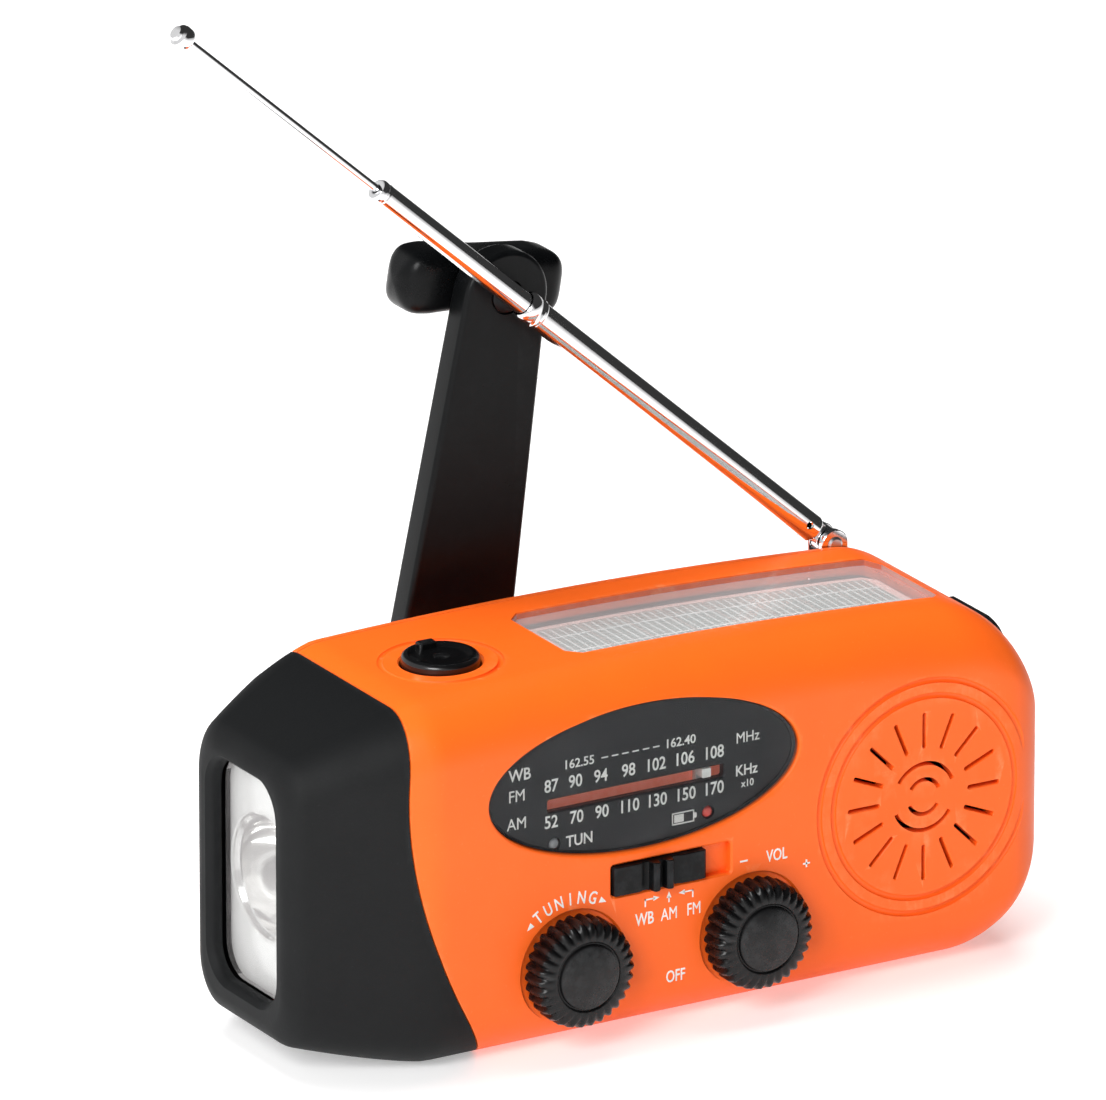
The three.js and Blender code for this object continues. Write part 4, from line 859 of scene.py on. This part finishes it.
# ---------- Torch ----------
def build_torch():
    """A silver plate with a deep reflector cup and three LEDs behind a clear lens."""
    plate = prism(torch_outline(0.8), "x", [(PLATE_X, -0.3), (PLATE_X + 0.3, 0), (PLATE_X + 1, 0)])
    cup_edge, throat, cup_lip, cup_depth, steps = 8.85, 4.8, 1, 9.2, 14
    shell = ((0, 0.3), (10.6, 0.3), (9.3, 4), (5.9, 11), (0, 11))
    curve = [(cup_edge - (cup_edge - throat) * (i / steps) ** 1.5, cup_lip + cup_depth * i / steps)
             for i in range(1, steps + 1)]
    bore = [(0, -1), (9.5, -1), (9.5, 0.2), (9.1, 0.9), (cup_edge, cup_lip)]
    bore += curve + [(throat, 12), (0, 12)]
    add(plate, lathe([(r, PLATE_X + x) for r, x in shell], "x", 0, TORCH_Z, 112))
    cut(plate, lathe([(r, PLATE_X + x) for r, x in bore], "x", 0, TORCH_Z, 112))
    add(plate, ring_solid(oval(9.95, PLATE_X + 0.02, 0.22, 0.22, 10), "x", 0, TORCH_Z, 128))
    piece("torch_mirror", plate, MIRROR, "torch_reflector", angle=28)
    plate.data.materials.append(CUP_MIRROR)
    for face in plate.data.polygons:
        middle = face.center / MM
        if hypot(middle.y, middle.z - TORCH_Z) < 9.3:
            face.material_index = 1

    lens = prism(torch_outline(0.2), "x",
                 [(PLATE_X - 1.3, -0.3), (PLATE_X - 1.1, 0), (PLATE_X - 0.35, 0)])
    piece("torch_window", lens, CLEAR, "torch_lens", angle=28)
    board_x = PLATE_X + 11.3
    board = prism(rectangle(-8, 8, TORCH_Z - 8, TORCH_Z + 8, 1, 4), "x",
                  [(board_x, 0), (board_x + 1.2, 0)])
    piece("led_plate", board, WHITE, "led_board")
    build_leds(board_x - 5.2)


def build_leds(base):
    dome_profile = ((0, 0), (0.9, 0.16), (1.45, 0.55), (1.72, 1.1), (1.8, 1.8), (1.8, 4.2), (2.05, 4.25),
                    (2.05, 4.9), (0, 4.9))
    chip_profile = ((0, 2.4), (0.5, 2.4), (0.8, 3.4), (0.3, 3.6), (0.3, 4.8), (0, 4.8))
    count, ring = 3, 2.4
    for i in range(count):
        angle = pi / 2 + i * 2 * pi / count
        y, z = ring * cos(angle), TORCH_Z + ring * sin(angle)
        dome = lathe([(r, base + x) for r, x in dome_profile], "x", y, z, 40)
        piece("led_dome_%d" % (i + 1), dome, LED_CLEAR, "torch_led_%d" % (i + 1), angle=30)
        chip = lathe([(r, base + x) for r, x in chip_profile], "x", y, z, 24)
        piece("led_chip_%d" % (i + 1), chip, PHOSPHOR)


# ---------- Solar panel ----------
def build_solar():
    """A clear cover over a tray with eight cells and a red strip at one end."""
    cover = under_top(solar_outline(0.15, 1.9), 0.12, 0.95)
    piece("solar_lens", cover, CLEAR, "solar_window", angle=28)
    tray = under_top(solar_outline(1.2, 1.4), 2.5, 3.15)
    piece("solar_tray", tray, TRAY_PINK, "solar_panel", angle=28)

    count, gap, fingers = 8, 0.16, 5
    x0, x1, y0, y1 = SOLAR_X0 + 3.8, SOLAR_X1 - 3.2, SOLAR_Y0 + 2.6, SOLAR_Y1 - 2.6
    width = (x1 - x0) / count
    cells, lines = [], []
    for i in range(count):
        a, b = x0 + i * width + gap, x0 + (i + 1) * width - gap
        cells.append(under_top(rectangle(a, b, y0, y1, 0.25, 3), 2.36, 2.52))
        for k in range(fingers):
            x = a + (k + 0.5) * (b - a) / fingers
            lines.append(under_top(rectangle(x - 0.13, x + 0.13, y0 + 0.3, y1 - 0.3, 0.05, 2), 2.33, 2.37))
        for share in (0.28, 0.72):
            y = y0 + share * (y1 - y0)
            lines.append(under_top(rectangle(a, b, y - 0.2, y + 0.2, 0.05, 2), 2.31, 2.34))
    piece("solar_cells", joined(cells), CELL)
    piece("solar_fingers", joined(lines), SOLAR_SILVER)
    a, b = SOLAR_X0 + 1.5, SOLAR_X0 + 2.7
    strip = under_top([(a, y0), (b, y0), (b, y1), (a, y1)], 2.3, 2.5)
    piece("solar_edge_strip", strip, RED_LENS, slot="salmon_strip")


# ---------- Crank ----------
def lean(obj):
    """From the crank's own frame to its place on the back."""
    place = Matrix.Translation(Vector((HUB_X, 0, HUB_Z)) * MM)
    return moved(obj, place @ Matrix.Rotation(CRANK_LEAN, 4, "Y"))


def fold_bore():
    return cylinder("x", FOLD_BORE, -20, 20, FOLD_Y, FOLD_Z, 40)


def build_hub():
    """The boss on the back, with its shaft and two ears for the arm's hinge pin."""
    hub = lathe([(0, 5.3), (3, 5.3), (3, 17.2), (12, 17.2), (12, 22.3), (11.7, 22.75), (11.2, 22.9),
                 (8.6, 22.9), (8.3, 22.6), (7.7, 22.6), (7.4, 22.9), (0, 22.9)], "y", 0, 0, 128)
    radius, inner, outer = 2.5, 2.8, 5.2
    ear = arc(FOLD_Y, FOLD_Z, radius, -90, 180, 24) + [(22.7, FOLD_Z + radius), (22.7, FOLD_Z - radius)]
    for start, end in ((-outer, -inner), (inner, outer)):
        add(hub, prism(ear, "x", soft_ends(start, end, 0.15)))
    cut(hub, fold_bore())
    piece("crank_boss", lean(hub), BLACK, "crank_hub", body="crank")
    pin = cylinder("x", 1.1, -5.3, 5.3, FOLD_Y, FOLD_Z, 32, 0.15)
    piece("fold_pin", lean(pin), STEEL, "arm_hinge_pin", body="crank")


def arm_outline():
    """The arm from behind: a foot, a swelling root, a long taper and a round top."""
    foot, root, top = 8, 9.75, 7
    shoulder_z, root_z, straight = 8.4, 14, 6
    side = [(foot, FOLD_Z)] + bezier([(foot, shoulder_z), (foot, 11), (root, root_z)], 8)
    side += [(root + (top - root) * i / straight, root_z + (GRIP_Z - root_z) * i / straight)
             for i in range(1, straight)]
    other = [(-x, z) for x, z in reversed(side)]
    return other[-1:] + side + arc(0, GRIP_Z, top, 0, 180, 28) + other[:-1]


def build_arm():
    """A tapering arm, its hinge barrel and a recessed rivet."""
    rounding = ((0, -0.75), (0.12, -0.4), (0.4, -0.12), (0.8, 0))
    levels = [(ARM_FRONT + y, grow) for y, grow in rounding]
    levels += [(ARM_BACK - y, grow) for y, grow in reversed(rounding)]
    arm = prism(arm_outline(), "y", levels)
    add(arm, cylinder("x", 2.35, -8, 8, FOLD_Y, FOLD_Z, 48))
    cut(arm, fold_bore(), cylinder("y", GRIP_BORE, 0, 40, 0, GRIP_Z, 40),
        cylinder("y", 2.7, 0, ARM_FRONT + 0.7, 0, GRIP_Z, 48))
    piece("crank_lever", lean(arm), BLACK, "crank_arm", body="arm")
    rivet = lathe([(0, 22.75), (1.2, 22.78), (2, 22.95), (2.4, 23.3), (2.4, 23.65), (1.35, 23.65),
                   (1.35, 35.6), (0, 35.6)], "y", 0, GRIP_Z, 48)
    piece("grip_rivet", lean(rivet), BLACK, "grip_pin", body="arm", slot="steel")


def build_grip():
    """A T-shaped bar that turns on the arm's rivet."""
    count, stations = 64, 60
    half_length, half_width, rounded_from = 14.1, 4.6, 10.4
    rings = []
    for i in range(stations + 1):
        x = -half_length * cos(pi * i / stations)
        out = abs(x)
        swell = 0.80 + 0.20 * min(1, out / 9) ** 1.6
        past = max(0, (out - rounded_from) / (half_length - rounded_from))
        close = max(0.02, sqrt(max(0, 1 - past ** 2.6)))
        along = (out / half_length) ** 2
        tall = half_width * swell * close
        deep = half_width * (0.98 - 0.08 * along) * close
        arch = 1.5 * (1 - along)
        ring = []
        for c, s in oval(0, 0, 1, 1, count):
            y = deep * copysign(abs(c) ** 0.45, c)
            z = tall * copysign(abs(s) ** 0.5, s) + arch * max(0, s) ** 0.5
            ring.append((x, GRIP_Y + y, GRIP_Z + z * 0.985 - 0.12))
        rings.append(ring)
    grip = cut(loft(rings), cylinder("y", GRIP_BORE, 20, 36, 0, GRIP_Z, 40))
    piece("crank_handle", lean(grip), BLACK, "crank_grip", body="grip", angle=40)


# ---------- Antenna ----------
def lay(obj):
    """From the antenna's own frame, drawn along +X, to its place."""
    return moved(obj, Matrix.Translation(ANTENNA_AT * MM) @ Matrix.Rotation(ANTENNA_TILT - pi, 4, "Y"))


def build_bracket():
    """The foot with two ears, and the hinge pin."""
    x, y, z = ANTENNA_AT
    foot = prism(rectangle(x - 3.9, x + 4.2, 15.7, 20.9, 0.5, 4), "z",
                 [(48.8, -0.1), (48.9, 0), (51.25, 0), (51.4, -0.15)])
    radius, inner, outer = 2.3, 1.4, 2.4
    ear = arc(x, z, radius, 0, 180, 28) + [(x - radius, 51), (x + radius, 51)]
    for low, high in ((y - outer, y - inner), (y + inner, y + outer)):
        add(foot, prism(ear, "y", soft_ends(low, high, 0.12)))
    cut(foot, cylinder("y", 1, 0, 40, x, z, 32))
    piece("antenna_clip", foot, CHROME, "antenna_bracket")
    head = [(0, 2.75), (0.9, 2.7), (1.25, 2.45), (0.9, 2.42)]
    profile = [(r, y - out) for r, out in head] + [(r, y + out) for r, out in reversed(head)]
    pin = lathe(profile, "y", x, z, 40)
    piece("antenna_pivot", pin, STEEL, "antenna_hinge_pin")


def build_antenna():
    """Three drawn sections with rolled collars, and the tip."""
    outer = lathe([(0, 3.2), (1.7, 3.2), (2, 3.35), (2.15, 3.7), (2.15, 66.6), (2.2, 66.8), (2.36, 67),
                   (2.38, 67.4), (2.2, 67.7), (2.2, 68.1), (2.38, 68.4), (2.38, 69.2), (2.3, 69.6),
                   (2.15, 69.85), (1.95, 70), (1.9, 69.9), (1.9, 5), (0, 5)], "x", 0, 0, 72)
    for quarter in (0, 1, 2, -1):
        dimple = lathe([(0, 1.75), (0.35, 1.8), (0.6, 2), (0.7, 2.6), (0, 2.6)], "z", 5.6, 0, 24)
        cut(outer, moved(dimple, Matrix.Rotation(quarter * pi / 2, 4, "X")))
    add(outer, cylinder("y", 2.1, -1.15, 1.15, 0, 0, 48, 0.15),
        prism(rectangle(0, 3.8, -1.5, 1.5, 0.3, 3), "y", [(-1.1, 0), (1.1, 0)]))
    cut(outer, cylinder("y", 1.05, -5, 5, 0, 0, 32))
    piece("antenna_base_tube", lay(outer), CHROME, "antenna_outer_tube", body="antenna_outer")

    inner = lathe([(0, 37.6), (1.75, 37.6), (1.75, 101.4), (1.62, 101.6), (1.62, 101.9), (1.75, 102.1),
                   (1.75, 102.7), (1.55, 103.1), (1.1, 103.2), (0.75, 103.1), (0.75, 39.6), (0, 39.6)],
                  "x", 0, 0, 64)
    piece("antenna_mid_tube", lay(inner), CHROME, "antenna_inner_tube", body="antenna_inner")
    rod = lathe([(0, 80.1), (0.6, 80.1), (0.6, 144.4), (0, 144.4)], "x", 0, 0, 40)
    piece("antenna_tip_rod", lay(rod), CHROME, "antenna_rod", body="antenna_rod")
    tip = lathe([(0, 144.5), (0.9, 144.5), (1.1, 144.7), (1.25, 144.95), (1.68, 145.15), (1.8, 145.5),
                 (1.8, 146.4), (1.68, 146.8), (1.2, 147.05), (1.2, 147.3), (1, 147.6), (0.5, 147.7),
                 (0, 147.7)], "x", 0, 0, 56)
    piece("antenna_knob", lay(tip), CHROME, "antenna_tip", body="antenna_rod", angle=28)


# ---------- Speaker end ----------
def build_ends():
    """The two metal sockets, the outlet's tongue and the rubber cover."""
    for name, port, thick, node in (("usb_shell", USB_PORT, 0.35, "usb_outlet"),
                                    ("charge_shell", CHARGE_PORT, 0.5, "charging_socket")):
        z0, z1, wide = port
        y0, y1 = PORT_Y - wide / 2, PORT_Y + wide / 2
        shell = box(51.5, 70, y0, y1, z0, z1)
        boolean(shell, body_form(0.4, 60, 8), "INTERSECT")
        cut(shell, box(53, 80, y0 + thick, y1 - thick, z0 + thick, z1 - thick))
        piece(name, shell, STEEL, node, angle=28)
    piece("usb_tongue", box(53.1, 59.2, -3.9, -2.3, 32.2, 42), WHITE)
    cover = cut(body_form(-1.4), body_form(-0.3))
    boolean(cover, prism(rectangle(-9, 4, 20, 48, 2, 6), "x", [(40, 0), (80, 0)]), "INTERSECT")
    piece("port_flap", cover, RUBBER, "port_cover", body="cover", angle=30)


def finish_inside():
    """The works inside the case keep their CAD shapes and take their own finishes."""
    finishes = (
        (BLACK, ("torch_switch", "tuning_capacitor", "volume_control", "band_switch")),
        (STEEL, ("tuning_shaft", "volume_shaft", "speaker_frame", "speaker_magnet", "dynamo_stator",
                 "gearbox_plate")),
        (PAPER, ("speaker_cone",)),
        (BOARD, ("main_board",)),
        (WRAP, ("battery_cell_1", "battery_cell_2")),
        (FERRITE, ("ferrite_rod",)),
        (COPPER, ("ferrite_coil", "dynamo_rotor")),
        (NYLON, ("main_gear", "middle_gear")),
    )
    for material, names in finishes:
        for name in names:
            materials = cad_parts[name].data.materials
            materials.clear()
            materials.append(material)


# ---------- Studio ----------
AIM = (0, 0, 0.04)
# Name, place, width, power, height, and whether shiny pieces show it.
LIGHTS = (
    ("key", (-0.58, -0.42, 0.50), 0.35, 4.6, 0.35, True),
    ("side", (-1, 0, 0.25), 0.5, 2.2, 0.6, False),
    ("top", (0.05, 0.25, 1), 0.8, 10, 0.5, False),
)
# The surroundings darken towards one direction: where along it the fall starts and ends, and its strengths.
WORLD_DARK_WAY = (0.75, 0, 0.66)
WORLD_FALL = {"From_Min": 0.05, "From_Max": 0.36, "To_Min": 0.80, "To_Max": 0.04}
# Degrees and millimetres. The picture spans VIEW_WIDTH at the distance of the aimed-at point.
AZIMUTH, ELEVATION = radians(30.6), radians(19.7)
DISTANCE, VIEW_WIDTH, SENSOR = 2500, 163.6095, 36
AIM_RIGHT, AIM_UP = -9.6, 62.9


def area_light(name, at, width, power, height, glossy):
    lamp = bpy.data.lights.new(name, "AREA")
    lamp.shape = "RECTANGLE"
    lamp.size = width
    lamp.size_y = height
    lamp.energy = power
    obj = linked(lamp)
    obj.location = at
    obj.visible_glossy = glossy
    obj.rotation_euler = (Vector(AIM) - Vector(at)).to_track_quat("-Z", "Y").to_euler()


def build_floor():
    far = 6000
    floor = mesh_object([(-far, -far, 0), (far, -far, 0), (far, far, 0), (-far, far, 0)], [(0, 1, 2, 3)])
    floor.name = "floor"
    g = Material("floor_white", Base_Color=(0.93, 0.925, 0.925, 1), Specular_IOR_Level=0.25,
                 Emission_Color=(1, 1, 1, 1), Emission_Strength=0.37)
    g.set(g.shader, Roughness=g.ramp(g.noise(0.01, 3), 0.16, 0.24))
    floor.data.materials.append(g.owner)


def build_world():
    world = bpy.data.worlds.new("studio")
    bpy.context.scene.world = world
    g = Graph(world)
    along = g.add("VectorMath")
    along.operation = "DOT_PRODUCT"
    g.put(along.inputs[0], g.add("TexCoord").outputs["Generated"])
    g.put(along.inputs[1], WORLD_DARK_WAY)
    fall = g.add("MapRange", Value=along.outputs["Value"], **WORLD_FALL)
    fall.interpolation_type = "SMOOTHSTEP"
    g.set(g.nodes["Background"], Color=(1, 1, 1, 1), Strength=fall.outputs["Result"])


def build_camera():
    back = Vector((-sin(AZIMUTH) * cos(ELEVATION), -cos(AZIMUTH) * cos(ELEVATION), sin(ELEVATION)))
    right = Vector((cos(AZIMUTH), -sin(AZIMUTH), 0))
    up = back.cross(right)
    data = bpy.data.cameras.new("camera")
    data.sensor_width = SENSOR
    data.lens = SENSOR * DISTANCE / VIEW_WIDTH
    data.clip_start, data.clip_end = 0.1, 60
    cam = linked(data)
    cam.location = (right * AIM_RIGHT + up * AIM_UP + back * DISTANCE) * MM
    cam.rotation_euler = Matrix((right, up, back)).transposed().to_euler()
    bpy.context.scene.camera = cam


# ---------- Building ----------
build_shells()
build_screws()
knob("tuning_dial", TUNING_X, "tuning", "tuning_knob")
knob("volume_dial", VOLUME_X, "volume", "volume_knob")
build_band_switch()
build_torch_button()
build_dial()
build_dial_print()
build_case_print()
build_torch()
build_solar()
build_hub()
build_arm()
build_grip()
build_bracket()
build_antenna()
build_ends()
finish_inside()

build_floor()
build_world()
for light in LIGHTS:
    area_light(*light)
build_camera()
bpy.context.scene.view_settings.view_transform = "Standard"
